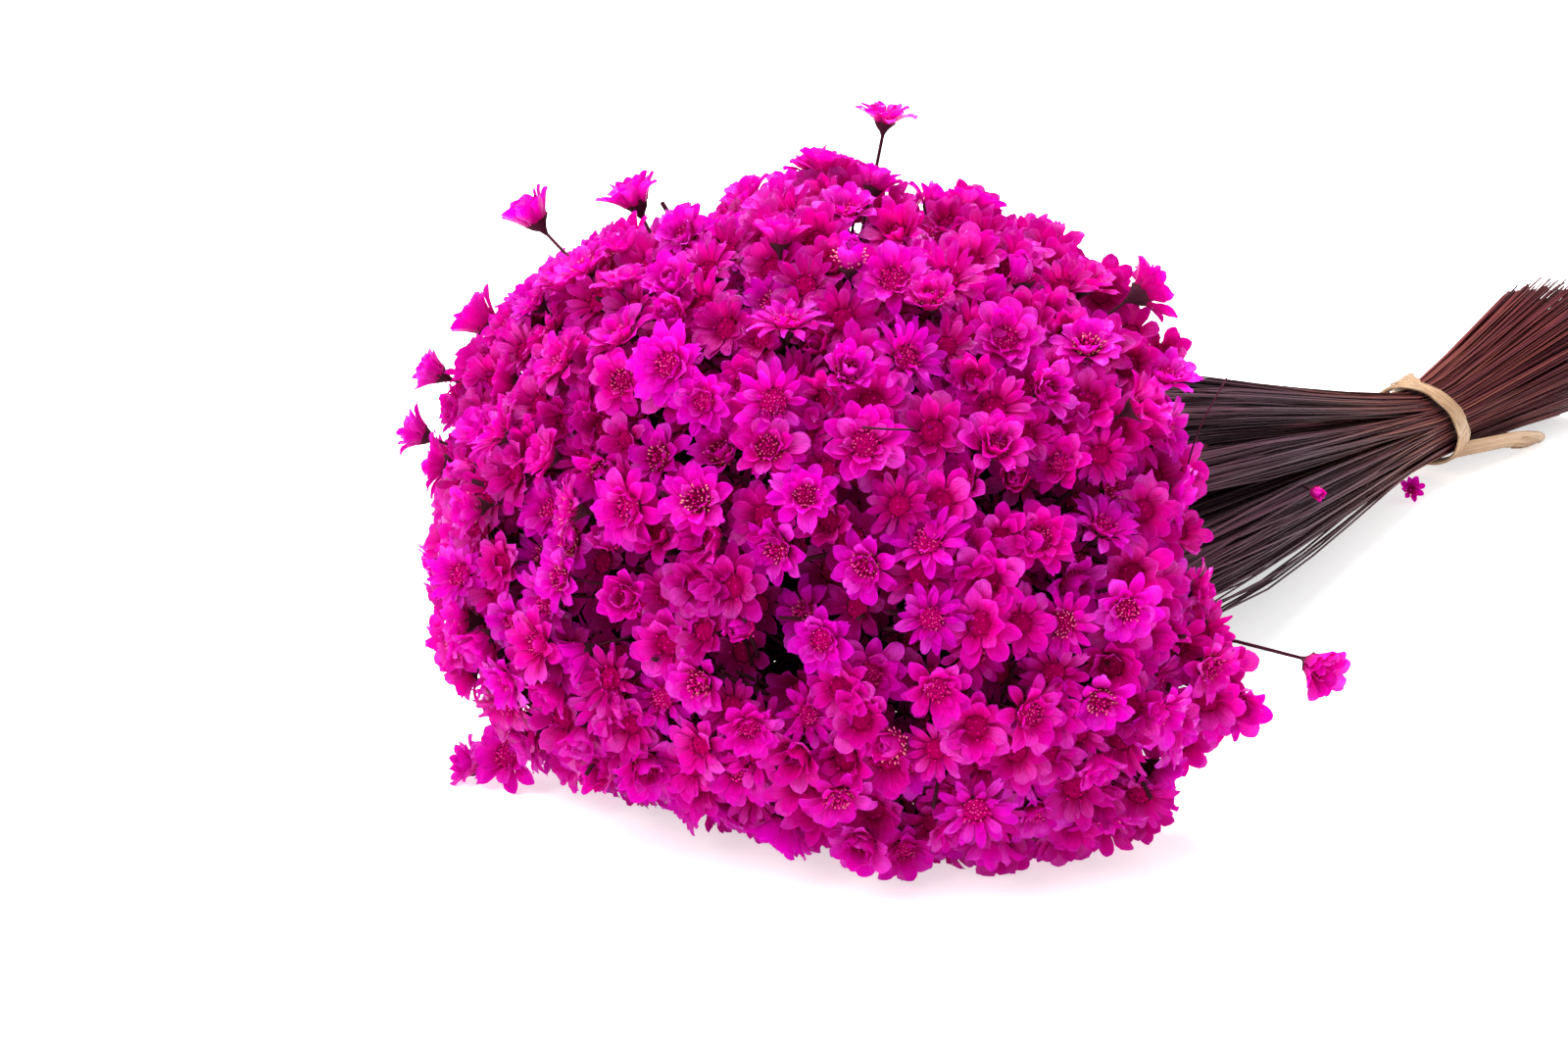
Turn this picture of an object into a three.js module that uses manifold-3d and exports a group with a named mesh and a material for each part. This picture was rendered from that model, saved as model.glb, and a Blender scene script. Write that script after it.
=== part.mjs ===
// A lying, tied bunch of dried glixia: small dyed star flowers on long thin stems.
// Millimetres, +Z up. The stems run along +Y, from the flower heads to the cut ends.
import * as THREE from "three";
import Module from "manifold-3d";

const wasm = await Module();
wasm.setup();

// Places are measured from the tie: it is the origin until the whole bunch is centred at the end.
const TIE_HEIGHT = 13.8; // the middle of the bundle at the tie, above the surface
const HEAD_DISTANCE = 270; // from the tie to the middle of the mass of flowers
const HEAD_HEIGHT = 36; // the middle of that mass, above the surface
const HEAD_ASIDE = 3; // how far that mass has flopped to one side

// The mass of flowers is a dome round its middle, flattened where it lies on the surface.
const DOME_WIDE = 74; // half its width
const DOME_FORWARD = 60;
const DOME_UP = 71;
const DOME_DOWN = 42;
const DOME_ANGLE = THREE.MathUtils.degToRad(112); // how far round the flowers go, from the front
const LOWEST_BLOOM = 3.4; // no flower's middle is lower than this
const DEEPEST_BLOOM = 13; // how far under the dome's surface the inner flowers sit

// One flower: a ring of petals, an inner cup, a raised disc and a cone of bracts under it.
const BLOOM_RADIUS = 6.4;
const BLOOM_SMALLEST = 0.82; // as a share of BLOOM_RADIUS
const BLOOM_LARGEST = 1.08;
const OUTER_PETALS = 6;
const INNER_PETALS = 4; // on the flowers that sit deeper than DEEP_FROM
const DEEP_FROM = 4;
const CLOSED_SHARE = 0.12; // of the flowers, which are nearly closed
const CLOSED_OPENING = 0.35;
const LEAST_OPENING = 0.8; // of the others

// How far out and how far up the points of a flower's skin stand, as shares of its radius: the first
// number is for a closed flower, the second for one that is fully open.
const PETAL_TIP = { out: [0.6, 1], up: [0.7, 0.06] };
const PETAL_NOTCH = { out: [0.5, 0.66], up: [0.4, 0.08] };
const CUP_TIP = { out: [0.46, 0.46], up: [0.5, 0.32] };
const CUP_NOTCH = { out: [0.34, 0.34], up: [0.2, 0.2] };
const DISC_UP = 0.2;
const BRACTS_OUT = 0.24;
const BRACTS_DOWN = 0.4;

// Which way a flower faces: out from its root, out from the dome, and by chance.
const FACING = { fromRoot: 0.45, fromDome: 0.55, chance: 0.4 };
const STEM_RADIUS = 0.75;
const GRIPPED_STEM_RADIUS = 0.5; // where the stems leave the tie

// How close two flowers may stand, side by side, one over the other and beside a stem.
const SIDE_GAP = -1.2;
const LEVEL_GAP = 6.4;
const STEM_GAP = 6.7;
const FAR_APART = 10 * BLOOM_RADIUS; // beyond this two flowers never touch
const TRIES = 8000;
const EVEN_STEPS = [0.7548776662, 0.569840291];
const SCATTER = 0.02;

// Flowers on longer stems, which stand out of the mass: how far out from its front (1 is the rim of
// the dome), the angle round it from +X towards +Z in degrees, and how far above the dome.
const STRAYS = [
  { reach: 0.91, angle: 87, rise: 12 },
  { reach: 0.9, angle: 97, rise: 4 },
  { reach: 0.74, angle: 127, rise: 10 },
  { reach: 0.8, angle: 117, rise: 4 },
  { reach: 0.68, angle: 140, rise: 6 },
  { reach: 0.64, angle: 149, rise: 8 },
  { reach: 0.62, angle: 158, rise: 4 },
  { reach: 0.63, angle: -138, rise: 11 },
  { reach: 0.97, angle: -5, rise: 13 },
  { reach: 0.94, angle: -18, rise: 4 },
];
// One flower under the mass is pressed flat against the surface: its middle is this high.
const PRESSED_HEIGHT = 0.9;
// A small bud on a short stem lies under the bundle, tucked under the tie.
const BUD_RADIUS = 3.1;
const BUD_PLACE = new THREE.Vector3(8, -27, 3);
const BUD_ROOT = new THREE.Vector3(3.95, -13.6, 4.5);
const BUD_FACING = new THREE.Vector3(0.4, -0.85, -0.05);

// Nineteen sprays lie together as close-packed rods do, and fan out towards both ends.
const ROD_SPACING = 2 / 4.863; // between neighbours in a round bundle of radius 1
const BUNDLE_RADIUS = 9.6; // at the tie
const SPRAY_RADIUS = 2.1; // one spray where the tie grips it
const GRIP_FRONT = 15; // how far the stems lie together, from the tie towards the flowers
const GRIP_BACK = 7; // and towards the cut ends
const STEMS_IN_SPRAY = 6;
const STEM_RING = 1.05; // from a spray's middle to its outer stems, in the grip
const SEAT_RING = 0.6; // and where they reach the core, as a share of its radius
const CUT_LENGTH = 84; // from the tie to the cut ends
const CUT_RADIUS = 18.5; // the bundle there
const CUT_UNEVEN = 7;

// The small core that a spray's flowers branch from, under the flowers.
const CORE_SHARE = 0.62; // of the way from the middle of the mass to the dome's surface
const CORE_BACK = 9; // how much further it sits back along the stems
const CORE_RADIUS = 6.6;
const CORE_HALF_LENGTH = 3;
const ROOT_SPREAD = 26; // from a flower's place in the bundle to its root on the core
const ROOT_REACH = 0.7; // how far out on the core a root can be, as a share of its radius
const CLEARANCE = 0.3; // between a spray's core and the stems that carry it

// The band that ties the stems: two turns, the second one slack and slanted.
const BAND_WIDTH = 6.5;
const BAND_THICK = 1;
const BAND_AT = -4; // the middle of the first turn, along the stems
const BAND_LEAN = 7; // how far a turn leans along the stems, each way
const BAND_SLACK = 48; // how far the second turn strays towards the cut ends
const BAND_BULGE = 4.5; // how far it then hangs off the bundle, low on the +X side
const BAND_LOWEST = 0.5; // above the surface
const BAND_STEPS = 28;
const SECOND_STEPS = 17;
const SECOND_FROM = THREE.MathUtils.degToRad(-35); // round the bundle, from +X towards +Z
const SECOND_TO = THREE.MathUtils.degToRad(-268);
const SECOND_EARLY = 0.4; // under 1, the second turn strays furthest early in its way round
const BUNDLE_MARGIN = 0.4; // the outer stems reach this far past the bundle's radius

const SEED = 1907;
const TURN = 2 * Math.PI;
const HEAD_MIDDLE = new THREE.Vector3(HEAD_ASIDE, -HEAD_DISTANCE, HEAD_HEIGHT);
const TIE_MIDDLE = new THREE.Vector3(0, 0, TIE_HEIGHT);

// A number from 0 to 1 that depends only on its two whole numbers.
function draw(index, channel) {
  let bits = (Math.imul(index, 374761393) + Math.imul(channel + SEED, 668265263)) >>> 0;
  bits = Math.imul(bits ^ (bits >>> 13), 1274126177) >>> 0;
  return ((bits ^ (bits >>> 16)) >>> 0) / 4294967296;
}

function between(low, high, share) {
  return low + (high - low) * share;
}

// Two directions square to an axis.
function squareTo(axis) {
  const helper = Math.abs(axis.z) < 0.9 ? new THREE.Vector3(0, 0, 1) : new THREE.Vector3(1, 0, 0);
  const across = new THREE.Vector3().crossVectors(helper, axis).normalize();
  const along = new THREE.Vector3().crossVectors(axis, across);
  return [across, along];
}

function ringOf(middle, across, along, count, place) {
  const ring = [];
  for (let i = 0; i < count; i++) {
    const angle = (TURN * i) / count;
    const { radius, rise = null } = place(i);
    const point = middle.clone();
    point.addScaledVector(across, radius * Math.cos(angle));
    point.addScaledVector(along, radius * Math.sin(angle));
    if (rise) point.add(rise);
    ring.push(point);
  }
  return ring;
}

// A closed skin over a row of rings, which may differ in their number of points. The row has its
// two ends capped, or closes on itself as a loop.
function skin(rings, isLoop = false) {
  const faces = [];
  const starts = rings.map((_, r) => rings.slice(0, r).flat().length);
  const rows = isLoop ? rings.length : rings.length - 1;
  for (let r = 0; r < rows; r++) {
    const here = starts[r];
    const next = starts[(r + 1) % rings.length];
    const a = rings[r].length;
    const b = rings[(r + 1) % rings.length].length;
    let i = 0;
    let j = 0;
    while (i < a || j < b) {
      const stepsOnNext = i >= a || (j < b && (j + 1) / b <= (i + 1) / a);
      if (stepsOnNext) {
        if (b > 1) faces.push([here + (i % a), next + (j % b), next + ((j + 1) % b)]);
        j++;
      } else {
        if (a > 1) faces.push([here + (i % a), next + (j % b), here + ((i + 1) % a)]);
        i++;
      }
    }
  }
  if (!isLoop) {
    const last = starts[rings.length - 1];
    for (let i = 1; i + 1 < rings[0].length; i++) faces.push([0, i, i + 1]);
    for (let i = 1; i + 1 < rings.at(-1).length; i++) faces.push([last, last + i + 1, last + i]);
  }
  return solid(rings.flat(), faces);
}

function solid(points, faces) {
  const vertProperties = new Float32Array(points.flatMap((point) => point.toArray()));
  const triVerts = new Uint32Array(faces.flat());
  return new wasm.Manifold(new wasm.Mesh({ numProp: 3, vertProperties, triVerts }));
}

// The dome's surface over a place (u, v) in the round bundle, which is 1 at its rim.
function domeAt(u, v, depth) {
  const alpha = 2 * Math.asin(Math.hypot(u, v) * Math.sin(DOME_ANGLE / 2));
  const beta = Math.atan2(v, u);
  const way = new THREE.Vector3(
    Math.sin(alpha) * Math.cos(beta), -Math.cos(alpha), Math.sin(alpha) * Math.sin(beta));
  const size = new THREE.Vector3(DOME_WIDE, DOME_FORWARD, way.z > 0 ? DOME_UP : DOME_DOWN);
  const normal = way.clone().divide(size).normalize();
  const point = way.multiply(size).add(HEAD_MIDDLE).addScaledVector(normal, -depth);
  point.z = Math.max(point.z, LOWEST_BLOOM);
  return { point, normal };
}

// The direction in which a stem grows at a place, out from the tie.
function growthAt(point) {
  return new THREE.Vector3().subVectors(point, TIE_MIDDLE).normalize();
}

// Where a spray's core sits, and the directions that its flowers spread in.
function coreFrame(u, v) {
  const { point, normal } = domeAt(u, v, 0);
  const growth = growthAt(point);
  const middle = HEAD_MIDDLE.clone().lerp(point, CORE_SHARE).addScaledVector(growth, -CORE_BACK);
  const way = new THREE.Vector3().addVectors(normal, growth).normalize();
  const across = new THREE.Vector3(1, 0, 0).addScaledVector(way, -way.x).normalize();
  const along = new THREE.Vector3().crossVectors(way, across);
  return { middle, way, across, along };
}

function onCore({ middle, way, across, along }, x, y, ahead) {
  const point = middle.clone().addScaledVector(way, ahead);
  return point.addScaledVector(across, x).addScaledVector(along, y);
}

function nearestSpray(u, v) {
  const far = (spray) => Math.hypot(u - spray.u, v - spray.v);
  return sprays.reduce((best, spray) => (far(spray) < far(best) ? spray : best));
}

// A flower over a place (u, v) of the bundle, its stem rooted on the core of the nearest spray.
function bloomAt(index, u, v, depth) {
  const { point, normal } = domeAt(u, v, depth);
  const spray = nearestSpray(u, v);
  const offset = new THREE.Vector2(u - spray.u, v - spray.v);
  offset.multiplyScalar(ROOT_SPREAD).clampLength(0, ROOT_REACH * CORE_RADIUS);
  const root = onCore(spray.core, offset.x, offset.y, 0);
  const wobble = new THREE.Vector3(draw(index, 2), draw(index, 3), draw(index, 4)).subScalar(0.5);
  const facing = new THREE.Vector3().subVectors(point, root).setLength(FACING.fromRoot);
  facing.addScaledVector(normal, FACING.fromDome);
  facing.addScaledVector(wobble, FACING.chance).normalize();
  const radius = BLOOM_RADIUS * between(BLOOM_SMALLEST, BLOOM_LARGEST, draw(index, 5));
  return { index, spray, root, depth, point, facing, radius };
}

// A flower that might stand somewhere on the dome. The first ones are spread evenly over it by two
// steps that never repeat, and later ones are tried deeper.
function candidate(index) {
  const reach = Math.sqrt((EVEN_STEPS[0] * index + SCATTER * draw(index, 0)) % 1);
  const angle = TURN * ((EVEN_STEPS[1] * index + SCATTER * draw(index, 1)) % 1);
  const depth = (DEEPEST_BLOOM * index) / TRIES;
  return bloomAt(index, reach * Math.cos(angle), reach * Math.sin(angle), depth);
}

function strayBloom({ reach, angle, rise }, i) {
  const turn = THREE.MathUtils.degToRad(angle);
  return bloomAt(TRIES + i, reach * Math.cos(turn), reach * Math.sin(turn), -rise);
}

function pressedBloom() {
  const bloom = bloomAt(TRIES + STRAYS.length, 0, -0.5, 0);
  bloom.point.set(HEAD_MIDDLE.x, HEAD_MIDDLE.y, PRESSED_HEIGHT);
  bloom.facing.set(0, 0, -1);
  return bloom;
}

function lowBud() {
  const facing = BUD_FACING.clone().normalize();
  return { index: TRIES, root: BUD_ROOT, point: BUD_PLACE, facing, radius: BUD_RADIUS, depth: 0 };
}

function beside(bloom, other) {
  const stem = new THREE.Line3(other.root, other.point);
  const nearest = stem.closestPointToPoint(bloom.point, true, new THREE.Vector3());
  return nearest.distanceTo(bloom.point) > STEM_GAP;
}

// Whether two flowers are far enough apart to stand clear of each other and of their stems.
function standClear(one, other) {
  const apart = new THREE.Vector3().subVectors(one.point, other.point);
  if (apart.length() > FAR_APART) return true;
  const up = new THREE.Vector3().addVectors(one.facing, other.facing).normalize();
  const level = apart.dot(up);
  const side = Math.sqrt(Math.max(0, apart.lengthSq() - level * level));
  const wide = one.radius + other.radius + SIDE_GAP;
  if ((side / wide) ** 2 + (level / LEVEL_GAP) ** 2 < 1) return false;
  return beside(one, other) && beside(other, one);
}

function growBlooms() {
  const blooms = [pressedBloom(), ...STRAYS.map(strayBloom)];
  for (let index = 0; index < TRIES; index++) {
    const bloom = candidate(index);
    if (blooms.every((other) => standClear(bloom, other))) blooms.push(bloom);
  }
  return blooms;
}

// One flower, and its bracts drawn out into a stem that tapers to its root.
function bloomSolid({ index, root, point, facing, radius, depth }) {
  const petals = depth > DEEP_FROM ? INNER_PETALS : OUTER_PETALS;
  const isClosed = draw(index, 6) < CLOSED_SHARE;
  const open = isClosed ? CLOSED_OPENING : between(LEAST_OPENING, 1, draw(index, 7));
  const [right, front] = squareTo(facing);
  const spin = TURN * draw(index, 8);
  const across = right.clone().multiplyScalar(Math.cos(spin)).addScaledVector(front, Math.sin(spin));
  const along = new THREE.Vector3().crossVectors(facing, across);
  const up = (share) => facing.clone().multiplyScalar(share * radius);
  const stand = (shape) => ({
    radius: between(...shape.out, open) * radius,
    rise: up(between(...shape.up, open)),
  });
  const teeth = (count, tip, notch) => ringOf(
    point, across, along, count, (i) => stand(i % 2 === 0 ? tip : notch));

  const disc = [point.clone().add(up(DISC_UP))];
  const cup = teeth(petals, CUP_TIP, CUP_NOTCH);
  const rim = teeth(2 * petals, PETAL_TIP, PETAL_NOTCH);
  const neck = point.clone().add(up(-BRACTS_DOWN));
  const bracts = ringOf(neck, across, along, 3, () => ({ radius: BRACTS_OUT * radius }));
  return skin([disc, cup, rim, bracts, [root]]);
}

// The flowers of one spray, with the small six-sided core that they branch from.
function headsSolid({ core }, blooms, floor) {
  const end = (ahead) => ringOf(onCore(core, 0, 0, ahead), core.across, core.along, 6,
    () => ({ radius: CORE_RADIUS }));
  const block = skin([end(CORE_HALF_LENGTH), end(-CORE_HALF_LENGTH)]);
  return blooms.reduce((heads, bloom) => heads.add(bloomSolid(bloom)), block).subtract(floor);
}

// The middles of the nineteen sprays in a round bundle of radius 1.
function sprayPlaces() {
  const places = [{ u: 0, v: 0 }];
  for (let i = 0; i < 6; i++) {
    const angle = (TURN * i) / 6;
    places.push({ u: ROD_SPACING * Math.cos(angle), v: ROD_SPACING * Math.sin(angle) });
  }
  for (let i = 0; i < 12; i++) {
    const angle = (TURN * i) / 12;
    const reach = ROD_SPACING * (i % 2 === 0 ? 2 : Math.sqrt(3));
    places.push({ u: reach * Math.cos(angle), v: reach * Math.sin(angle) });
  }
  return places;
}

// The middle of the bundle behind the tie, where it fans out and still lies on the surface.
function bundleBehind(distance) {
  const share = Math.max(0, distance - GRIP_BACK) / (CUT_LENGTH - GRIP_BACK);
  const radius = between(BUNDLE_RADIUS, CUT_RADIUS, share);
  return { radius, height: between(TIE_HEIGHT, CUT_RADIUS, share) };
}

// Where the stems of a spray stand in its grip: one in the middle, the others round it.
function stemPlaces() {
  const around = STEMS_IN_SPRAY - 1;
  const places = [new THREE.Vector2(0, 0)];
  for (let i = 0; i < around; i++) {
    const angle = (TURN * i) / around;
    places.push(new THREE.Vector2(Math.cos(angle), Math.sin(angle)));
  }
  return places;
}

// One spray's stems: gripped in the tie, up to the core of its flowers and back to the cut ends.
function stemsSolid({ u, v, core }, number) {
  const stems = stemPlaces();
  const polygon = (count, radius, first) => Array.from({ length: count }, (_, i) => {
    const angle = first + (TURN * i) / count;
    return new THREE.Vector2(radius * Math.cos(angle), radius * Math.sin(angle));
  });
  const outline = polygon(6, SPRAY_RADIUS, TURN / 12);
  const holes = stems.map((stem) => polygon(3, GRIPPED_STEM_RADIUS, 0).map(
    (corner) => corner.addScaledVector(stem, STEM_RING)));
  const flat = [outline, ...holes].flat();
  const plate = THREE.ShapeUtils.triangulateShape(outline, holes).map(([a, b, c]) => {
    const turn = flat[b].clone().sub(flat[a]).cross(flat[c].clone().sub(flat[a]));
    return turn > 0 ? [a, b, c] : [a, c, b];
  });

  const points = [];
  const faces = [];
  const middle = new THREE.Vector3(u * BUNDLE_RADIUS, 0, TIE_HEIGHT + v * BUNDLE_RADIUS);
  // One end of the grip, with a stem growing out of each hole in it.
  const grow = (y, endOf) => {
    const first = points.length;
    const addFace = (a, b, c) => faces.push(y < 0 ? [a, b, c] : [a, c, b]);
    points.push(...flat.map((p) => middle.clone().add(new THREE.Vector3(p.x, y, p.y))));
    plate.forEach(([a, b, c]) => addFace(first + a, first + b, first + c));
    stems.forEach((stem, s) => {
      const root = first + 6 + 3 * s;
      const tip = points.length;
      points.push(...endOf(stem, s));
      for (let i = 0; i < 3; i++) {
        const j = (i + 1) % 3;
        addFace(root + i, root + j, tip + j);
        addFace(root + i, tip + j, tip + i);
      }
      addFace(tip, tip + 1, tip + 2);
    });
    return first;
  };
  const front = grow(-GRIP_FRONT, (stem) => {
    const x = SEAT_RING * CORE_RADIUS * stem.x;
    const y = SEAT_RING * CORE_RADIUS * stem.y;
    return ringOf(onCore(core, x, y, -CORE_HALF_LENGTH - CLEARANCE), core.across, core.along, 3,
      () => ({ radius: STEM_RADIUS }));
  });
  const back = grow(GRIP_BACK, (stem, s) => {
    const length = CUT_LENGTH - CUT_UNEVEN * draw(number, 20 + s);
    const { radius, height } = bundleBehind(length);
    const spread = (STEM_RING * radius) / BUNDLE_RADIUS;
    const cut = new THREE.Vector3(
      u * radius + spread * stem.x, length, height + v * radius + spread * stem.y);
    return ringOf(cut, new THREE.Vector3(1, 0, 0), new THREE.Vector3(0, 0, 1), 3,
      () => ({ radius: STEM_RADIUS }));
  });
  for (let i = 0; i < 6; i++) {
    const j = (i + 1) % 6;
    faces.push([front + j, front + i, back + i], [front + j, back + i, back + j]);
  }
  return solid(points, faces);
}

// Where the band runs, a share of the way through one of its turns. The first turn is a full ring,
// leaning back at the bottom. The second leaves it low on the +X side, strays back along the stems
// and joins it again near the top.
function bandPoint(share, isSecond) {
  const angle = isSecond ? between(SECOND_FROM, SECOND_TO, share) : TURN * share;
  const stray = isSecond ? BAND_SLACK * Math.sin(Math.PI * share ** SECOND_EARLY) : 0;
  const y = BAND_AT + stray - BAND_LEAN * Math.sin(angle);
  const { radius, height } = bundleBehind(y);
  const bulge = BAND_BULGE * (stray / BAND_SLACK) * Math.max(0, -Math.sin(2 * angle));
  const reach = radius + BUNDLE_MARGIN + CLEARANCE + bulge;
  const out = new THREE.Vector3(Math.cos(angle), 0, Math.sin(angle));
  const point = new THREE.Vector3(0, y, height).addScaledVector(out, reach);
  return { point, out };
}

function bandSolid(isSecond) {
  const steps = isSecond ? SECOND_STEPS : BAND_STEPS;
  const rings = [];
  for (let i = 0; i < steps; i++) {
    const share = i / (isSecond ? steps - 1 : steps);
    const { point, out } = bandPoint(share, isSecond);
    const ahead = bandPoint(Math.min(1, share + 0.01), isSecond).point;
    const behind = bandPoint(Math.max(0, share - 0.01), isSecond).point;
    const way = new THREE.Vector3().subVectors(ahead, behind).normalize();
    const wide = new THREE.Vector3().crossVectors(way, out).setLength(0.5 * BAND_WIDTH);
    const thick = out.clone().multiplyScalar(BAND_THICK);
    const ring = [point.clone().sub(wide), point.clone().add(wide)];
    ring.forEach((edge) => edge.setZ(Math.max(edge.z, BAND_LOWEST + BAND_THICK)));
    ring.push(ring[1].clone().add(thick), ring[0].clone().add(thick));
    rings.push(ring);
  }
  return skin(rings, !isSecond);
}

function asMesh(name, shape, material) {
  const { vertProperties, triVerts } = shape.getMesh();
  const geometry = new THREE.BufferGeometry();
  geometry.setAttribute("position", new THREE.BufferAttribute(vertProperties, 3));
  geometry.setIndex(new THREE.BufferAttribute(triVerts, 1));
  geometry.computeVertexNormals();
  const mesh = new THREE.Mesh(geometry, material);
  mesh.name = name;
  return mesh;
}

// What is under the surface that the bunch lies on: the lowest flowers are pressed flat there.
function floorBlock() {
  const reach = 2 * HEAD_DISTANCE;
  const ring = (z) => [[-1, -1], [1, -1], [1, 1], [-1, 1]].map(
    ([x, y]) => new THREE.Vector3(reach * x, reach * y, z));
  return skin([ring(0), ring(-HEAD_HEIGHT)]);
}

const petalPink = new THREE.MeshStandardMaterial({ color: 0xf200b0, roughness: 0.55, metalness: 0 });
const stemBrown = new THREE.MeshStandardMaterial({ color: 0x4a2c3a, roughness: 0.8, metalness: 0 });
const bandTan = new THREE.MeshStandardMaterial({ color: 0xc39b78, roughness: 0.65, metalness: 0 });

const bunch = new THREE.Group();
const sprays = sprayPlaces().map(({ u, v }) => ({ u, v, core: coreFrame(u, v) }));
const blooms = growBlooms();
const floor = floorBlock();
sprays.forEach((spray, i) => {
  const number = String(i + 1).padStart(2, "0");
  const mine = blooms.filter((bloom) => bloom.spray === spray);
  bunch.add(asMesh(`heads_${number}`, headsSolid(spray, mine, floor), petalPink));
  bunch.add(asMesh(`stems_${number}`, stemsSolid(spray, i), stemBrown));
});
const band = bandSolid(false).add(bandSolid(true));
bunch.add(asMesh("tie_band", band, bandTan));
bunch.add(asMesh("low_bud", bloomSolid(lowBud()).subtract(floor), petalPink));

// The origin is under the middle of the whole bunch, on the surface that it lies on.
const box = new THREE.Box3().setFromObject(bunch);
const middle = box.getCenter(new THREE.Vector3());
bunch.position.set(-middle.x, -middle.y, -box.min.z);

const part = new THREE.Group();
part.add(bunch);

export default part;
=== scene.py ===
# %% [markdown]
# A tied bunch of dried glixia. Glixia is a small star flower that is picked on its long thin stalk,
# dyed and sold dry, in bunches that lie on the table. A flower is a dozen or more papery petals in
# rings round a bristly button, with small dark bracts behind it. Every flower has a stalk of its own,
# which runs through the tie and on to its cut end.
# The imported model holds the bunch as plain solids. This lesson repeats the rule that placed them, and
# puts real petals, buttons, stalks and fibres in their places.

# %% Tools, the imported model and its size
import math

import bpy
import numpy as np
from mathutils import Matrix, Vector


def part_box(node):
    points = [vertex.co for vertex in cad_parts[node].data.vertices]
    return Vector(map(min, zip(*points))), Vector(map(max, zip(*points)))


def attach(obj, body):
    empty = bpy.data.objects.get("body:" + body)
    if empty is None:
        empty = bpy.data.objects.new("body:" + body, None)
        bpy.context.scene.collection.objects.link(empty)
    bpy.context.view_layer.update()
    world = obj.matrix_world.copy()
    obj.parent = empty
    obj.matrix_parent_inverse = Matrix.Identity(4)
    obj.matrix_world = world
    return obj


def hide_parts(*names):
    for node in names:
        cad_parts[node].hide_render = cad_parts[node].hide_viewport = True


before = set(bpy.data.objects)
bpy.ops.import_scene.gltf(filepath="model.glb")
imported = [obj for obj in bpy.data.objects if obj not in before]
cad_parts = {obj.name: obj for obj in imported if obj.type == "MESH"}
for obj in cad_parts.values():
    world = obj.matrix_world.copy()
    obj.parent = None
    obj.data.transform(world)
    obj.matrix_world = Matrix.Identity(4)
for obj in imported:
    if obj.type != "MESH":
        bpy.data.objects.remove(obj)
bpy.context.view_layer.update()
SEED = 1907
chance = np.random.default_rng(SEED)
print("solids:", len(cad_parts))

# %% [markdown]
# Sizes come first. The flowers fill a dome that is wider than it is deep, flat below where the bunch
# lies and high above. The round bundle of stalks is thinnest at the tie and widens behind it. Numbers
# could stand where they are used, but flowers, stalks, tie and camera share these, so each is named
# once. They are the numbers that made the solids.

# %% Sizes that the camera and the layout share, in millimetres from the middle of the tie
MM = 0.001
TIE_MIDDLE = np.array([0, 0, 13.8])
HEAD_MIDDLE = np.array([3, -270, 36])
DOME_WIDE, DOME_FORWARD, DOME_UP, DOME_DOWN = 74, 60, 71, 42
DOME_ANGLE = math.radians(112)
LOWEST_BLOOM, DEEPEST_BLOOM = 3.4, 13
BLOOM_RADIUS, BLOOM_SMALLEST, BLOOM_LARGEST = 6.4, 0.82, 1.08
SIDE_GAP, LEVEL_GAP, STEM_GAP, TRIES = -1.2, 6.4, 6.7, 8000
EVEN_STEPS = (0.7548776662, 0.569840291)
SCATTER = 0.02
BUNDLE_RADIUS, GRIP_FRONT, GRIP_BACK = 9.6, 15, 7
CUT_LENGTH, CUT_RADIUS, CUT_UNEVEN = 84, 18.5, 7
CORE_SHARE, CORE_BACK, CORE_RADIUS = 0.62, 9, 6.6
TURN = 2 * math.pi
print("dome:", 2 * DOME_WIDE, "mm wide and", DOME_UP + DOME_DOWN, "mm high")


# %% Helpers for directions, mixtures and heights
# To mix is to go from the low value to the high one by a share.
def unit(ways):
    ways = np.asarray(ways, float)
    return ways / np.linalg.norm(ways, axis=-1, keepdims=True)


def mixed(low, high, share):
    return low + (high - low) * share


def dot(one, other):
    return np.sum(one * other, axis=-1, keepdims=True)


def turned(angle, one, other):
    return np.cos(angle)[..., None] * one + np.sin(angle)[..., None] * other


def keep_above(points, height):
    points[..., 2] = np.maximum(points[..., 2], height)


# %% [markdown]
# The rule of the bunch. A flower's place is a point of a dome round the middle of the mass, and each
# point of the dome belongs to a point of the round bundle at the tie, so stalks never cross. Nineteen
# sprays share the bundle as close-packed rods do. The draws depend only on whole numbers, so this
# script and the solids agree on every flower without reading one another.

# %% Draws that depend only on whole numbers
# Channels 0 and 1 place a flower, 2 to 4 turn it, 5 sizes it, 6 closes it, and 20 on cut the stems.
LOW_BITS = np.uint64(0xFFFFFFFF)
STIRS = np.array([374761393, 668265263, 1274126177], np.uint64)
FIRST_CUT = 20


def draw(index, channel):
    bits = np.array(index, np.uint64, ndmin=1) * STIRS[0]
    bits = (bits + np.array(channel + SEED, np.uint64) * STIRS[1]) & LOW_BITS
    bits = ((bits ^ (bits >> np.uint64(13))) * STIRS[2]) & LOW_BITS
    return (bits ^ (bits >> np.uint64(16))).astype(float) / 2**32


print("first draws:", draw(np.arange(3), 0).round(3))


# %% The dome of flowers over the round bundle
def dome_at(u, v, depth):
    alpha = 2 * np.arcsin(np.hypot(u, v) * math.sin(DOME_ANGLE / 2))
    beta = np.arctan2(v, u)
    way = np.stack([np.sin(alpha) * np.cos(beta), -np.cos(alpha), np.sin(alpha) * np.sin(beta)], -1)
    high = np.where(way[..., 2] > 0, DOME_UP, DOME_DOWN)
    size = np.stack([np.full_like(high, DOME_WIDE), np.full_like(high, DOME_FORWARD), high], -1)
    normal = unit(way / size)
    point = way * size + HEAD_MIDDLE - np.asarray(depth)[..., None] * normal
    keep_above(point, LOWEST_BLOOM)
    return point, normal


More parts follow.
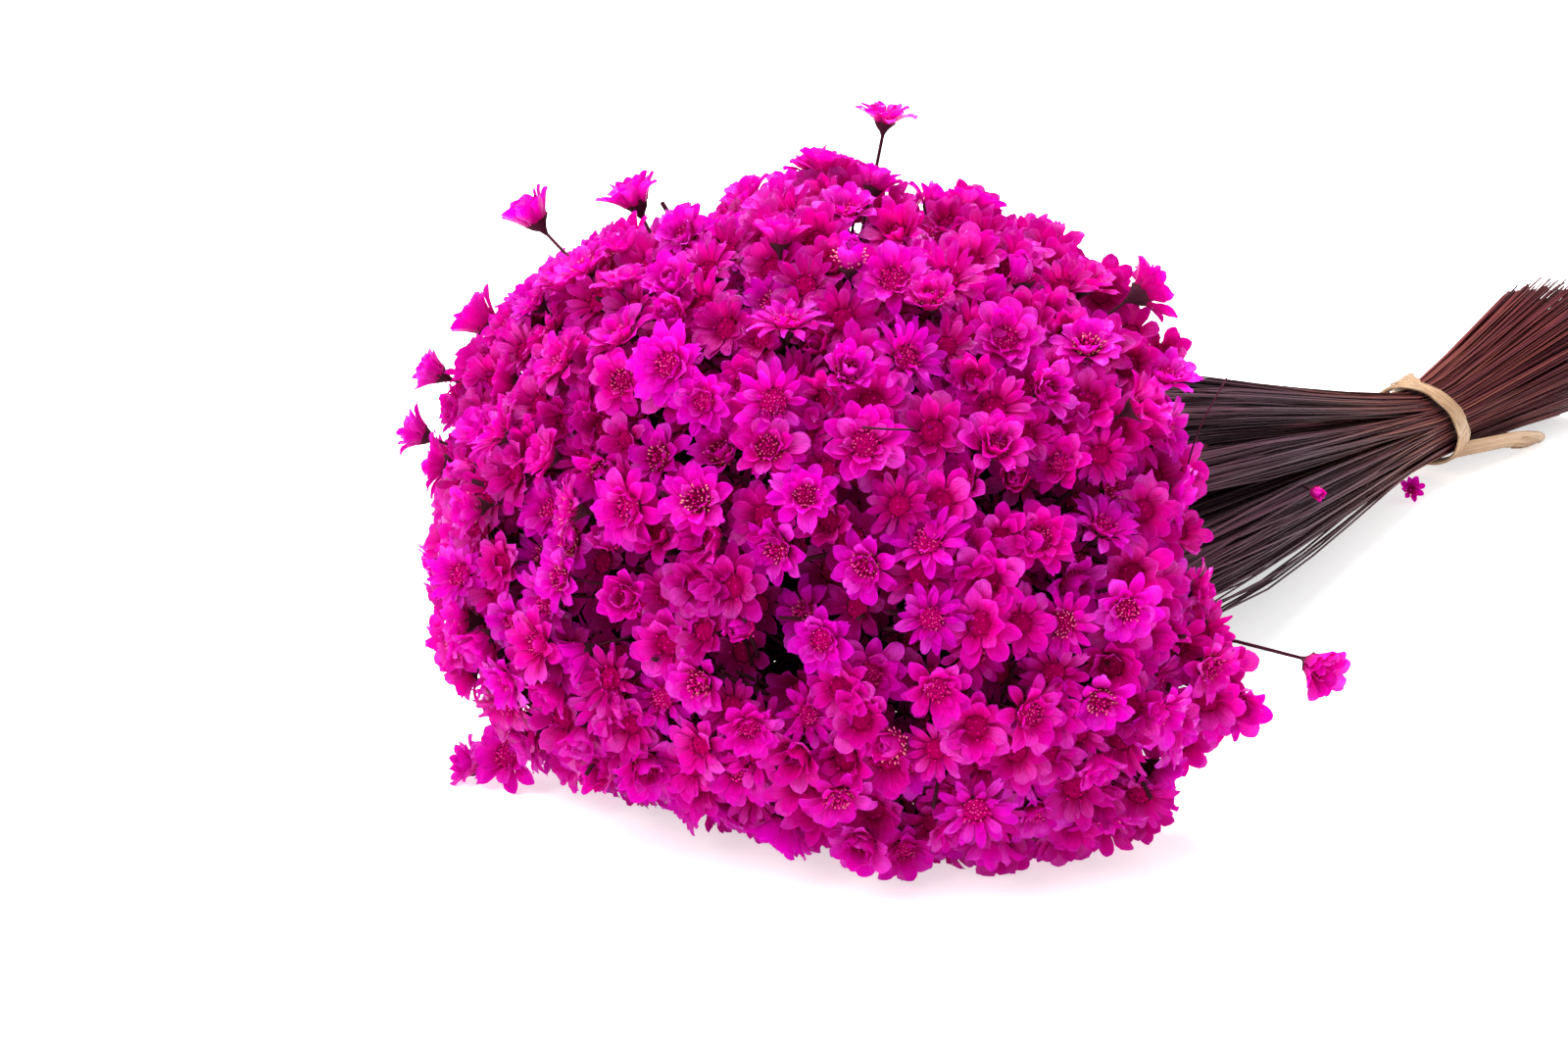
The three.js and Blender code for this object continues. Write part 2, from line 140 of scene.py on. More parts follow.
print("front of the dome:", dome_at(0, 0, 0)[0].round(1), "mm")


# %% The nineteen sprays and the cores that their flowers branch from
ROD_SPACING = 2 / 4.863
turns = TURN * np.arange(6) / 6
outer_turns = TURN * np.arange(12) / 12
outer_reach = ROD_SPACING * np.where(np.arange(12) % 2 == 0, 2, math.sqrt(3))
spray_u = np.concatenate([[0], ROD_SPACING * np.cos(turns), outer_reach * np.cos(outer_turns)])
spray_v = np.concatenate([[0], ROD_SPACING * np.sin(turns), outer_reach * np.sin(outer_turns)])
SPRAYS = len(spray_u)

dome_point, dome_normal = dome_at(spray_u, spray_v, np.zeros(SPRAYS))
growth = unit(dome_point - TIE_MIDDLE)
core_middle = mixed(HEAD_MIDDLE, dome_point, CORE_SHARE) - CORE_BACK * growth
core_way = unit(dome_normal + growth)
core_across = unit(np.array([1, 0, 0]) - core_way * core_way[:, :1])
core_along = np.cross(core_way, core_across)
print("sprays:", SPRAYS)

# %% A flower over each place of the bundle
ROOT_SPREAD, ROOT_REACH = 26, 0.7
FROM_ROOT, FROM_DOME, FROM_CHANCE = 0.45, 0.55, 0.4


def blooms_at(index, u, v, depth):
    point, normal = dome_at(u, v, depth)
    spray = np.argmin(np.hypot(u[:, None] - spray_u, v[:, None] - spray_v), axis=1)
    offset = ROOT_SPREAD * np.stack([u - spray_u[spray], v - spray_v[spray]], -1)
    reach = np.linalg.norm(offset, axis=-1, keepdims=True)
    offset *= np.minimum(1, ROOT_REACH * CORE_RADIUS / np.maximum(reach, 1e-9))
    root = core_middle[spray] + core_across[spray] * offset[:, :1] + core_along[spray] * offset[:, 1:]
    wobble = np.stack([draw(index, 2), draw(index, 3), draw(index, 4)], -1) - 0.5
    facing = unit(FROM_ROOT * unit(point - root) + FROM_DOME * normal + FROM_CHANCE * wobble)
    radius = BLOOM_RADIUS * mixed(BLOOM_SMALLEST, BLOOM_LARGEST, draw(index, 5))
    return dict(index=index, u=u, v=v, point=point, facing=facing, root=root, radius=radius, spray=spray)


def blooms_round(index, reach, angle, depth):
    return blooms_at(index, reach * np.cos(angle), reach * np.sin(angle), depth)


def spread_evenly(index, scatter):
    reach = np.sqrt((EVEN_STEPS[0] * index + scatter * draw(index, 0)) % 1)
    return reach, TURN * ((EVEN_STEPS[1] * index + scatter * draw(index, 1)) % 1)


# %% Flowers that might stand on the dome, and the strays on longer stalks
tried = np.arange(TRIES)
candidates = blooms_round(tried, *spread_evenly(tried, SCATTER), DEEPEST_BLOOM * tried / TRIES)

# A stray: how far out from the front of the dome, its angle round that in degrees, and its rise.
STRAYS = np.array([
    [0.91, 87, 12], [0.9, 97, 4], [0.74, 127, 10], [0.8, 117, 4], [0.68, 140, 6],
    [0.64, 149, 8], [0.62, 158, 4], [0.63, -138, 11], [0.97, -5, 13], [0.94, -18, 4],
])
stray_index = TRIES + np.arange(len(STRAYS))
strays = blooms_round(stray_index, STRAYS[:, 0], np.radians(STRAYS[:, 1]), -STRAYS[:, 2])

# One flower is pressed flat under the mass. It and the strays are the first rows of every table.
PRESSED_HEIGHT = 0.9
PLACED = 1 + len(STRAYS)
pressed = blooms_at(np.array([TRIES + len(STRAYS)]), np.zeros(1), np.array([-0.5]), np.zeros(1))
pressed["point"] = np.array([[HEAD_MIDDLE[0], HEAD_MIDDLE[1], PRESSED_HEIGHT]])
pressed["facing"] = np.array([[0, 0, -1.0]])
print("strays:", len(STRAYS), "and one pressed flower")


# %% Growing the flowers one by one, each clear of the ones before it
FAR_APART = 10 * BLOOM_RADIUS


def segment_gap(points, roots, tips):
    along = tips - roots
    share = np.clip(dot(points - roots, along) / dot(along, along), 0, 1)
    return np.linalg.norm(points - roots - share * along, axis=-1)


def stands_clear(one, others):
    apart = one["point"] - others["point"]
    level = dot(apart, unit(one["facing"] + others["facing"]))[:, 0]
    side = np.sqrt(np.maximum(0, dot(apart, apart)[:, 0] - level**2))
    clear = (side / (one["radius"] + others["radius"] + SIDE_GAP)) ** 2 + (level / LEVEL_GAP) ** 2 >= 1
    clear &= segment_gap(one["point"], others["root"], others["point"]) > STEM_GAP
    clear &= segment_gap(others["point"], one["root"], one["point"]) > STEM_GAP
    return bool(np.all(clear | (np.linalg.norm(apart, axis=-1) > FAR_APART)))


def joined(tables):
    return {key: np.concatenate([table[key] for table in tables]) for key in tables[0]}


def taken(table, rows):
    return {key: values[rows] for key, values in table.items()}


flowers = joined([pressed, strays])
for i in range(TRIES):
    if stands_clear(taken(candidates, i), flowers):
        flowers = joined([flowers, taken(candidates, [i])])
print("flowers, as in the solids:", len(flowers["index"]))

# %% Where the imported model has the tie, from the six stems of the middle spray
STEM_SEATS, STEM_TIP_RADIUS = 0.6, 0.75
middle_lengths = CUT_LENGTH - CUT_UNEVEN * draw(0, FIRST_CUT + np.arange(6))
stem_turns = TURN * np.arange(5) / 5
seats = np.concatenate([[[0, 0]], np.stack([np.cos(stem_turns), np.sin(stem_turns)], -1)])
seats = STEM_SEATS * CORE_RADIUS * seats
tips = core_middle[0] + core_across[0] * seats[:, :1] + core_along[0] * seats[:, 1:]
tip_ring = STEM_TIP_RADIUS * np.cos(TURN * np.arange(3) / 3)
front_x = (tips[:, None, 0] + tip_ring[:, None].T * core_across[0][0]).ravel()
packed_low, packed_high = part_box("stems_01")
shift = np.array([packed_low[0] / MM - front_x.min(), packed_high[1] / MM - middle_lengths.max(), 0])
print("the tie stands at", shift.round(2), "mm")

# %% [markdown]
# The solids show the flowers of the dome's skin. In the real bunch more flowers sit among and under
# these, on shorter stalks, and close the gaps, and a few stand a little proud. Here the deep crimson of
# the inner ones is a painted shade. The inside could be painted as a dark ball, but a real gap shows
# petals at many depths. So the same rule tries places from just over the skin to far inside, and keeps
# each that is clear of the others.

# %% More flowers, from a little proud of the skin to deep inside the dome
# A layer: how many tries, the most that are kept, the depths it spans, the gap it keeps, how many rings
# of petals its flowers need, the least reach over the dome, and the middle and half of its angle. The
# first two fill the skin, the second one only on the full shoulder on the upper left. The last two
# close the rim behind the top.
LAYERS = [
    (400, 30, -1.5, 0.5, 6.4, 3, 0, 170, 110), (2600, 30, -1.0, 1.0, 6.0, 3, 0.62, 132, 24),
    (9000, 330, 1.5, 11, 5.4, 2, 0, 90, 180), (12000, 310, 10, 34, 7.4, 1, 0, 90, 180),
    (9000, 140, 4, 34, 6.3, 1, 0.8, 80, 80), (3000, 12, 3, 14, 5.0, 2, 0.9, 55, 8)]
# The layer just under the skin leaves out small round places, through which the dark inside shows.
HOLLOWS, HOLLOW_REACH = 34, 0.078
hollow_reach, hollow_turn = np.sqrt(chance.random(HOLLOWS)), TURN * chance.random(HOLLOWS)
hollows = hollow_reach[:, None] * turned(hollow_turn, np.array([1, 0]), np.array([0, 1]))
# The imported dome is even. The bunch has dips and a fuller corner: each is a place of the bundle, how
# far it spreads there, and how many millimetres the flowers sink, or rise where the number is negative.
DIPS = [(-0.42, 0.77, 0.13, 10), (-0.24, 0.74, 0.08, 8), (0.82, 0.46, 0.16, 5), (0.90, 0.18, 0.20, 8),
        (0.97, 0.0, 0.2, 5), (0.70, 0.63, 0.16, -4), (0.66, -0.55, 0.2, -4), (-0.05, -0.45, 0.2, 5),
        (-0.55, -0.12, 0.2, 4)]


def sunk(table, first=0):
    for u, v, spread, depth in DIPS:
        share = np.exp(-((table["u"] - u) ** 2 + (table["v"] - v) ** 2) / spread**2)
        share[:first] = 0
        table["point"] = table["point"] - depth * share[:, None] * table["facing"]
    keep_above(table["point"], PRESSED_HEIGHT)
    return table


print("layers:", len(LAYERS), "hollows:", HOLLOWS, "dips:", len(DIPS))


# %% Growing the layers
# Each set of flowers has whole numbers of its own to draw with.
FIRST_MORE, FIRST_BROKEN, FIRST_SINGLE, FIRST_BIT = 20000, 30000, 50000, 60000
SKIN_SIZE, MORE_SIZE, MORE_SCATTER = 0.91, 0.88, 0.5
UNEVEN, MOST_SUNK, MOST_PROUD, UNEVEN_ABOVE = 2.1, -1.4, 1.6, 12
SKIN = len(flowers["index"])
flowers = sunk(flowers, first=PLACED)
rings_shown = np.full(SKIN, 3)
flowers["radius"] = SKIN_SIZE * flowers["radius"]
uneven = UNEVEN * np.clip(chance.normal(0, 1, (SKIN, 1)), MOST_SUNK, MOST_PROUD)
uneven = uneven * (flowers["point"][:, 2:] > UNEVEN_ABOVE)
flowers["point"] = flowers["point"] + uneven * flowers["facing"]
first_index = FIRST_MORE
for tries, most, shallow, deep, gap, rings, least_reach, middle, half in LAYERS:
    index = first_index + np.arange(tries)
    reach, angle = spread_evenly(index, MORE_SCATTER)
    more = sunk(blooms_round(index, reach, angle, mixed(shallow, deep, np.arange(tries) / tries)))
    more["radius"] *= MORE_SIZE
    aside = np.abs((np.degrees(angle) - middle + 180) % 360 - 180)
    fits = (aside <= half) & (reach > least_reach)
    if least_reach == 0 and rings == 2:
        place = np.stack([more["u"], more["v"]], -1)
        fits &= np.linalg.norm(place[:, None] - hollows, axis=-1).min(axis=1) > HOLLOW_REACH
    kept = 0
    for i in np.flatnonzero(fits):
        apart = np.linalg.norm(flowers["point"] - more["point"][i], axis=1)
        if apart.min() > gap and kept < most:
            flowers = joined([flowers, taken(more, [i])])
            kept += 1
    rings_shown = np.append(rings_shown, np.full(kept, rings))
    print("layer from", shallow, "to", deep, "mm:", kept)
    first_index += tries

# %% Single flowers that the photograph shows clearly
# The nodding cup on the right, the cup under it, the cup low on the left, and an open one beside that.
NODDING, UNDER_IT, LOW_LEFT = 9, 10, 8
flowers["point"][NODDING] = [84.4, -249.5, 31.6]
flowers["facing"][NODDING] = unit([0.90, -0.43, -0.13])
flowers["point"][UNDER_IT] = [73.6, -256.3, 24.7]
flowers["facing"][UNDER_IT] = unit([0.75, -0.60, -0.10])
flowers["facing"][LOW_LEFT] = unit([-0.55, -0.75, 0.35])
beside = taken(flowers, [LOW_LEFT])
beside["point"] = np.array([[-43.0, -302.0, 6.6]])
beside["facing"] = unit([[0.05, -0.9, 0.3]])
beside["radius"] = np.array([6.2])
beside["index"] = np.array([FIRST_SINGLE + 2])
flowers = joined([flowers, beside])
rings_shown = np.append(rings_shown, 3)
print("placed by hand:", 4)

# %% The low bud in front of the tie, and a late bud on the stalks
LOW_BUD = 99
low_bud = dict(
    index=np.array([FIRST_SINGLE]), u=np.array([0.41]), v=np.array([-0.71]),
    point=np.array([[8, -27, 3.4]]), facing=unit([[0.45, -0.75, 0.35]]),
    root=np.array([[3.95, -13.6, 4.5]]), radius=np.array([3.1]), spray=np.array([LOW_BUD]))
late_bud = blooms_at(np.array([FIRST_SINGLE + 1]), np.array([0.62]), np.array([-0.42]), np.zeros(1))
late_bud["point"] = np.array([[30.6, -132.2, 28.0]])
late_bud["facing"] = unit([[0.75, -0.55, -0.05]])
late_bud["root"] = np.array([[20, -108, 20.0]])
late_bud["radius"] = np.array([3.4])
flowers = joined([flowers, low_bud, late_bud])
rings_shown = np.append(rings_shown, [3, 3])
is_inner = rings_shown < 3
FLOWERS = len(flowers["index"])
print("flowers in all:", FLOWERS, "of them inner ones:", int(is_inner.sum()))

# %% [markdown]
# No two flowers open alike. Most have broad blunt petals, some narrow ones like a daisy, a few are
# still cups and fewer are closed buds. The same draw that closes a flower in the solids makes it a cup
# or a bud here, so the outline stays the same.

# %% What kind each flower is, and its tone
KINDS = ("broad", "daisy", "cup", "bud")
BROAD, DAISY, CUP, BUD = range(4)
BROAD_TO, DAISY_TO, CLOSED_CUP_TO = 0.60, 0.88, 0.7
CLOSED_SHARE, RIPE_SHARE, NO_CUP_BELOW = 0.12, 0.28, 8
is_closed = draw(flowers["index"], 6) < CLOSED_SHARE
chosen = chance.random(FLOWERS)
kind = np.where(chosen < BROAD_TO, BROAD, np.where(chosen < DAISY_TO, DAISY, CUP))
kind = np.where(is_closed, np.where(chosen < CLOSED_CUP_TO, CUP, BUD), kind)
kind[(kind == CUP) & ~is_closed & (flowers["point"][:, 2] < NO_CUP_BELOW)] = BROAD
# The last rows are the open flower placed beside the low cup, the low bud and the late bud.
kind[-3:] = [BROAD, CUP, BUD]
kind[3:PLACED] = CUP
print("of each kind:", {name: int(np.sum(kind == k)) for k, name in enumerate(KINDS)})

# The tone runs from magenta at 0 over hot pink at 1 to deep crimson at 2. Inner flowers are deeper:
# their tone above 1 is a painted shade, as they lie in the shade of the outer flowers.
tone = chance.random(FLOWERS)
tone[rings_shown == 2] = mixed(0.8, 1.6, tone[rings_shown == 2])
tone[rings_shown == 1] = mixed(1.5, 2.0, tone[rings_shown == 1])
ripe = mixed(0.5, 1, chance.random(FLOWERS)) * (chance.random(FLOWERS) < np.where(is_inner, 0, RIPE_SHARE))

# %% How each flower nods and turns
NOD, INNER_NOD, INNER_LIFT, NO_NOD_BELOW = 0.25, 0.3, 1.6, 6
nod = np.where(is_inner, INNER_NOD, NOD)[:, None] * chance.normal(0, 1, (FLOWERS, 3))
nod[is_inner] += INNER_LIFT * growth[flowers["spray"][is_inner]]
nod[(flowers["point"][:, 2] < NO_NOD_BELOW) & ~is_inner] = 0
nod[:PLACED] = 0
nod[-3:] = 0
facing = unit(flowers["facing"] + nod)
helper = np.where(np.abs(facing[:, 2:]) < 0.9, [[0, 0, 1.0]], [[1.0, 0, 0]])
right = unit(np.cross(helper, facing))
front = np.cross(facing, right)
across = turned(TURN * chance.random(FLOWERS), right, front)
along = np.cross(facing, across)
print("mean nod, as a share of a unit way:", np.linalg.norm(nod, axis=1).mean().round(2))


# %% The cells of a grid of points, and of many such grids
def grid_cells(rows, columns, is_round=False):
    cells = []
    for row in range(rows - 1):
        for column in range(columns if is_round else columns - 1):
            a, b = row * columns + column, row * columns + (column + 1) % columns
            cells.append((a, b, b + columns, a + columns))
    return np.array(cells)


def repeated(cells, count, step, first=0):
    starts = first + step * np.arange(count)
    return (cells[None] + starts[:, None, None]).reshape(-1, cells.shape[1])


print("cells of two grids of 3 by 4 points:", len(repeated(grid_cells(3, 4), 2, 12)))


# %% A piece from points, cells and marks
def make_piece(name, points, cells, marks, finish, stands_for=()):
    mesh = bpy.data.meshes.new(name)
    placed = (np.asarray(points).reshape(-1, 3) + shift) * MM
    mesh.from_pydata(placed.tolist(), [], [cell for part in cells for cell in part.tolist()])
    for mark, values in marks.items():
        layer = mesh.attributes.new(mark, "FLOAT", "POINT")
        layer.data.foreach_set("value", np.ascontiguousarray(values, np.float32).ravel())
    mesh.materials.append(finish)
    mesh.shade_smooth()
    piece = bpy.data.objects.new(name, mesh)
    bpy.context.scene.collection.objects.link(piece)
    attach(piece, "root")
    if stands_for:
        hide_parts(*stands_for)
    return piece


def triangles(piece):
    return sum(len(face.vertices) - 2 for face in piece.data.polygons)


# %% [markdown]
# Finishes. A dyed dry petal is papery: it lets light through, has fine grooves from base to tip and
# shines like silk where it curves. Grooves also run along the stalks and the fibres of the tie, so they
# are one node group, a stretched noise, which each finish places with its own numbers. A second group
# drifts a colour slowly over the bunch, as a dye bath does.

# %% A helper that adds a node with its values and wires
def add(tree, node_type, values=None, **settings):
    made = tree.nodes.new(node_type)
    for key, value in settings.items():
        setattr(made, key, value)
    for key, value in (values or {}).items():
        if isinstance(value, bpy.types.NodeSocket):
            tree.links.new(value, made.inputs[key])
        else:
            made.inputs[key].default_value = value
    return made


def maths(tree, operation, *values):
    return add(tree, "ShaderNodeMath", dict(enumerate(values)), operation=operation).outputs[0]


def rescaled(tree, value, low, high, to_low=0.0, to_high=1.0):
    return add(tree, "ShaderNodeMapRange", {
        "Value": value, "From Min": low, "From Max": high, "To Min": to_low, "To Max": to_high}).outputs[0]


def mix_colours(tree, share, one, other):
    one, other = ((*colour, 1) if isinstance(colour, tuple) else colour for colour in (one, other))
    return add(tree, "ShaderNodeMix", {0: share, 6: one, 7: other}, data_type="RGBA").outputs[2]


# %% A new node group with named inputs and outputs
def new_group(name, inputs, outputs):
    tree = bpy.data.node_groups.new(name, "ShaderNodeTree")
    for label, value in inputs.items():
        socket = tree.interface.new_socket(name=label, in_out="INPUT", socket_type="NodeSocketFloat")
        socket.default_value = value
    for label in outputs:
        tree.interface.new_socket(name=label, in_out="OUTPUT", socket_type="NodeSocketFloat")
    return tree, tree.nodes.new("NodeGroupInput"), tree.nodes.new("NodeGroupOutput")


# %% The grooves that petals, stalks and tie fibres share
grooves_group, ins, outs = new_group(
    "grooves", {"Along": 0, "Across": 0, "Seed": 0, "Fineness": 8, "Stretch": 1}, ["Mask", "Height"])
SEED_STRIDE = 37.0
place = add(grooves_group, "ShaderNodeCombineXYZ", {
    0: maths(grooves_group, "MULTIPLY", ins.outputs["Across"], ins.outputs["Fineness"]),
    1: maths(grooves_group, "MULTIPLY", ins.outputs["Along"], ins.outputs["Stretch"]),
    2: maths(grooves_group, "MULTIPLY", ins.outputs["Seed"], SEED_STRIDE)})
noise = add(grooves_group, "ShaderNodeTexNoise", {
    "Vector": place.outputs[0], "Scale": 1.0, "Detail": 3.0, "Roughness": 0.6}).outputs[0]
grooves_group.links.new(rescaled(grooves_group, noise, 0.36, 0.64), outs.inputs["Mask"])
grooves_group.links.new(noise, outs.inputs["Height"])
print("group:", grooves_group.name)

# %% The slow drift of colour over the bunch
drift_group, ins, outs = new_group("dye_drift", {"Size": 60, "Seed": 0}, ["Drift"])
where = add(drift_group, "ShaderNodeTexCoord").outputs["Object"]
noise = add(drift_group, "ShaderNodeTexNoise", {
    "Vector": where, "Scale": ins.outputs["Size"], "W": ins.outputs["Seed"], "Detail": 2.0},
    noise_dimensions="4D").outputs[0]
drift_group.links.new(rescaled(drift_group, noise, 0.3, 0.7), outs.inputs["Drift"])
print("group:", drift_group.name)


def drift_at(tree, size):
    return add(tree, "ShaderNodeGroup", {"Size": size}, node_tree=drift_group).outputs["Drift"]


# %% A new finish with its marks and grooves
# Each point of a piece carries four marks: how far along and across it lies, one draw for the whole
# petal, bristle or stalk, and a tone.
def new_finish(name, fineness, stretch):
    finish = bpy.data.materials.new(name)
    finish.use_nodes = True
    tree = finish.node_tree
    tree.nodes.clear()
    marks = {mark: add(tree, "ShaderNodeAttribute", attribute_name=mark).outputs["Fac"]
             for mark in ("along", "across", "one", "tone")}
    grooves = add(tree, "ShaderNodeGroup", {
        "Along": marks["along"], "Across": marks["across"], "Seed": marks["one"],
        "Fineness": fineness, "Stretch": stretch}, node_tree=grooves_group)
    return finish, tree, marks, grooves.outputs


def ramp(tree, share, stops):
    made = add(tree, "ShaderNodeValToRGB", {0: share})
    band = made.color_ramp
    while len(band.elements) < len(stops):
        band.elements.new(0.5)
    for element, (position, colour) in zip(band.elements, stops):
        element.position = position
        element.color = (*colour, 1)
    return made.outputs[0]


def bump(tree, height, strength, distance):
    return add(tree, "ShaderNodeBump", {
        "Height": height, "Strength": strength, "Distance": distance}).outputs[0]


# %% [markdown]
# The petal. Its base is crimson, partly from the dye and partly a painted shade deep in the flower, its
# middle pure magenta, its tip a shade more lilac. Flowers differ in tone between magenta and a hot pink,
# the inner ones get a painted shade of deep crimson, and one petal in five is silky, with pale streaks
# that are a painted glint. A painted sheen lightens some patches, and a painted highlight the rims. A
# Translucent shader beside the Principled one gives the glow of light that comes through a petal, which
# no surface colour gives.

# %% The petal finish
petal_finish, tree, marks, grooves = new_finish("dyed_petal", 9.0, 1.3)
# Both ramps run dark and red at the base: partly the dye, partly a painted shade deep in the flower.
magenta = ramp(tree, marks["along"], [
    (0.0, (0.50, 0.0, 0.09)), (0.3, (0.74, 0.0, 0.42)), (0.7, (0.78, 0.0, 0.60)), (1.0, (0.78, 0.0, 0.68))])
hot_pink = ramp(tree, marks["along"], [
    (0.0, (0.44, 0.0, 0.04)), (0.3, (0.68, 0.0, 0.20)), (0.7, (0.74, 0.0, 0.34)), (1.0, (0.76, 0.0, 0.44))])
tone_share = maths(tree, "MULTIPLY", drift_at(tree, 45), 0.35)
tone_share = maths(tree, "ADD", marks["tone"], tone_share)
petal_colour = mix_colours(tree, rescaled(tree, tone_share, 0.35, 1.25), magenta, hot_pink)

# Silky petals have a paler shine, and pale streaks towards the tip that are a painted glint.
silky_with_glint = maths(tree, "MULTIPLY", rescaled(tree, marks["one"], 0.76, 0.86), marks["along"])
glint_streaks = maths(tree, "MULTIPLY", silky_with_glint, grooves["Mask"])
painted_glint = maths(tree, "MULTIPLY", glint_streaks, 0.55)
petal_colour = mix_colours(tree, painted_glint, petal_colour, (0.88, 0.10, 0.92))
shine_colour = mix_colours(tree, silky_with_glint, (1.0, 0.02, 0.95), (1.0, 0.40, 1.0))

# Inner flowers get a painted shade of deep crimson, and the streaks of the grooves are deeper. A painted
# sheen lightens patches, and a painted highlight the petal's rim.
painted_inner_shade = rescaled(tree, marks["tone"], 1.0, 2.0, 0.0, 0.9)
petal_colour = mix_colours(tree, painted_inner_shade, petal_colour, (0.20, 0.0, 0.04))
deep_groove = maths(tree, "MULTIPLY", grooves["Mask"], 0.3)
petal_colour = mix_colours(tree, deep_groove, petal_colour, (0.44, 0.0, 0.20))
# A painted sheen: pale lilac patches towards the tips.
painted_sheen = rescaled(tree, drift_at(tree, 260), 0.66, 1.0, 0.0, 0.4)
painted_sheen = maths(tree, "MULTIPLY", painted_sheen, marks["along"])
petal_colour = mix_colours(tree, painted_sheen, petal_colour, (0.80, 0.05, 0.70))
# A painted highlight: the rim and the tip of each petal are lighter.
rim = maths(tree, "MAXIMUM", maths(tree, "ABSOLUTE", marks["across"]), marks["along"])
rim = rescaled(tree, rim, 0.86, 1.0, 0.0, 0.4)
petal_colour = mix_colours(tree, rim, petal_colour, (0.84, 0.02, 0.70))
print("nodes for the petal's colour:", len(tree.nodes))

# %% The petal's shine, and the light that comes through it
roughness = rescaled(tree, grooves["Height"], 0.3, 0.7, 0.26, 0.42)
smoother = maths(tree, "MULTIPLY_ADD", silky_with_glint, -0.12, roughness)
surface = add(tree, "ShaderNodeBsdfPrincipled", {
    "Base Color": petal_colour, "Roughness": smoother, "Specular IOR Level": 1.0,
    "Specular Tint": shine_colour, "Normal": bump(tree, grooves["Height"], 0.9, 0.0004)})
glow_colour = mix_colours(tree, 0.3, petal_colour, (0.95, 0.0, 0.22))
through = add(tree, "ShaderNodeBsdfTranslucent", {"Color": glow_colour})
both = add(tree, "ShaderNodeMixShader", {0: 0.36, 1: surface.outputs[0], 2: through.outputs[0]})
add(tree, "ShaderNodeOutputMaterial", {"Surface": both.outputs[0]})
print("finish:", petal_finish.name)

# %% [markdown]
# The button. It is a low dome of tiny dry flowers, crimson, with straw yellow tips in the ripest ones.
# It could be one painted dome. Here each bristle carries the mark that the ramp reads, so it has its
# own colour, with a dark foot and a light tip.

# %% The button finish
button_finish, tree, marks, grooves = new_finish("bristly_button", 3.0, 2.0)
bristle = ramp(tree, marks["one"], [
    (0.0, (0.07, 0.0, 0.015)), (0.25, (0.42, 0.0, 0.10)), (0.55, (0.84, 0.0, 0.34)),
    (0.8, (0.90, 0.10, 0.36)), (1.0, (0.84, 0.46, 0.24))])
stipple = maths(tree, "MULTIPLY", drift_at(tree, 2400), 0.45)
button_colour = mix_colours(tree, stipple, bristle, (0.20, 0.0, 0.035))
surface = add(tree, "ShaderNodeBsdfPrincipled", {
    "Base Color": button_colour, "Roughness": 0.6, "Specular IOR Level": 0.0,
    "Normal": bump(tree, grooves["Height"], 0.4, 0.0002)})
add(tree, "ShaderNodeOutputMaterial", {"Surface": surface.outputs[0]})
print("finish:", button_finish.name)

# %% [markdown]
# The stalks and bracts. They took the dye too: near the flowers they are a dark purple brown, and
# they turn red brown at the tie and behind it. Long fine grooves catch grey lights. One noise could mix
# the browns anywhere, but on the real stalk they follow its length, so two ramps along it are used, a
# dark and a light one, and each stalk has its own place between them.

# %% The stalk finish
stalk_finish, tree, marks, grooves = new_finish("dry_stalk", 2.0, 30.0)
dark = ramp(tree, marks["along"], [
    (0.0, (0.045, 0.004, 0.016)), (0.45, (0.044, 0.012, 0.024)), (0.68, (0.064, 0.009, 0.014)),
    (1.0, (0.070, 0.006, 0.013))])
light = ramp(tree, marks["along"], [
    (0.0, (0.080, 0.014, 0.032)), (0.45, (0.070, 0.034, 0.048)), (0.70, (0.190, 0.054, 0.030)),
    (1.0, (0.150, 0.026, 0.026))])
stalk_colour = mix_colours(tree, marks["tone"], dark, light)
groove_share = maths(tree, "MULTIPLY", grooves["Mask"], 0.45)
stalk_colour = mix_colours(tree, groove_share, stalk_colour, (0.020, 0.007, 0.010))
roughness = rescaled(tree, marks["along"], 0.1, 0.4, 1.0, 0.6)
surface = add(tree, "ShaderNodeBsdfPrincipled", {
    "Base Color": stalk_colour, "Roughness": roughness, "Specular IOR Level": 0.1,
    "Normal": bump(tree, grooves["Height"], 0.5, 0.0001)})
add(tree, "ShaderNodeOutputMaterial", {"Surface": surface.outputs[0]})
print("finish:", stalk_finish.name)

# %% [markdown]
# The fibre of the tie is undyed and tan, with darker grooves. One flat colour would look like plastic.
# A ramp over the grooves gives light and dark strands, and the slow drift darkens whole stretches.

# %% The tie finish
tie_finish, tree, marks, grooves = new_finish("tie_fibre", 14.0, 5.0)
fibre = ramp(tree, grooves["Mask"], [
    (0.0, (0.18, 0.095, 0.047)), (0.5, (0.29, 0.175, 0.096)), (1.0, (0.39, 0.265, 0.155))])
tie_share = maths(tree, "MULTIPLY", drift_at(tree, 90), 0.5)
tie_colour = mix_colours(tree, tie_share, fibre, (0.26, 0.145, 0.075))
surface = add(tree, "ShaderNodeBsdfPrincipled", {
    "Base Color": tie_colour, "Roughness": 0.5, "Specular IOR Level": 0.4,
    "Normal": bump(tree, grooves["Height"], 0.7, 0.0004)})
add(tree, "ShaderNodeOutputMaterial", {"Surface": surface.outputs[0]})
print("finish:", tie_finish.name)

# %% [markdown]
# Petals. A petal is a thin spoon: narrow at its base, widest past its middle, cupped across and bent
# along its length. It could be one model copied about, but then every flower would look stamped. So
# each petal is a small grid of points with its own length, width, bend, cup, twist and wave, and a
# flower is up to three rings of them. All the petals of a spray are worked out in one go.

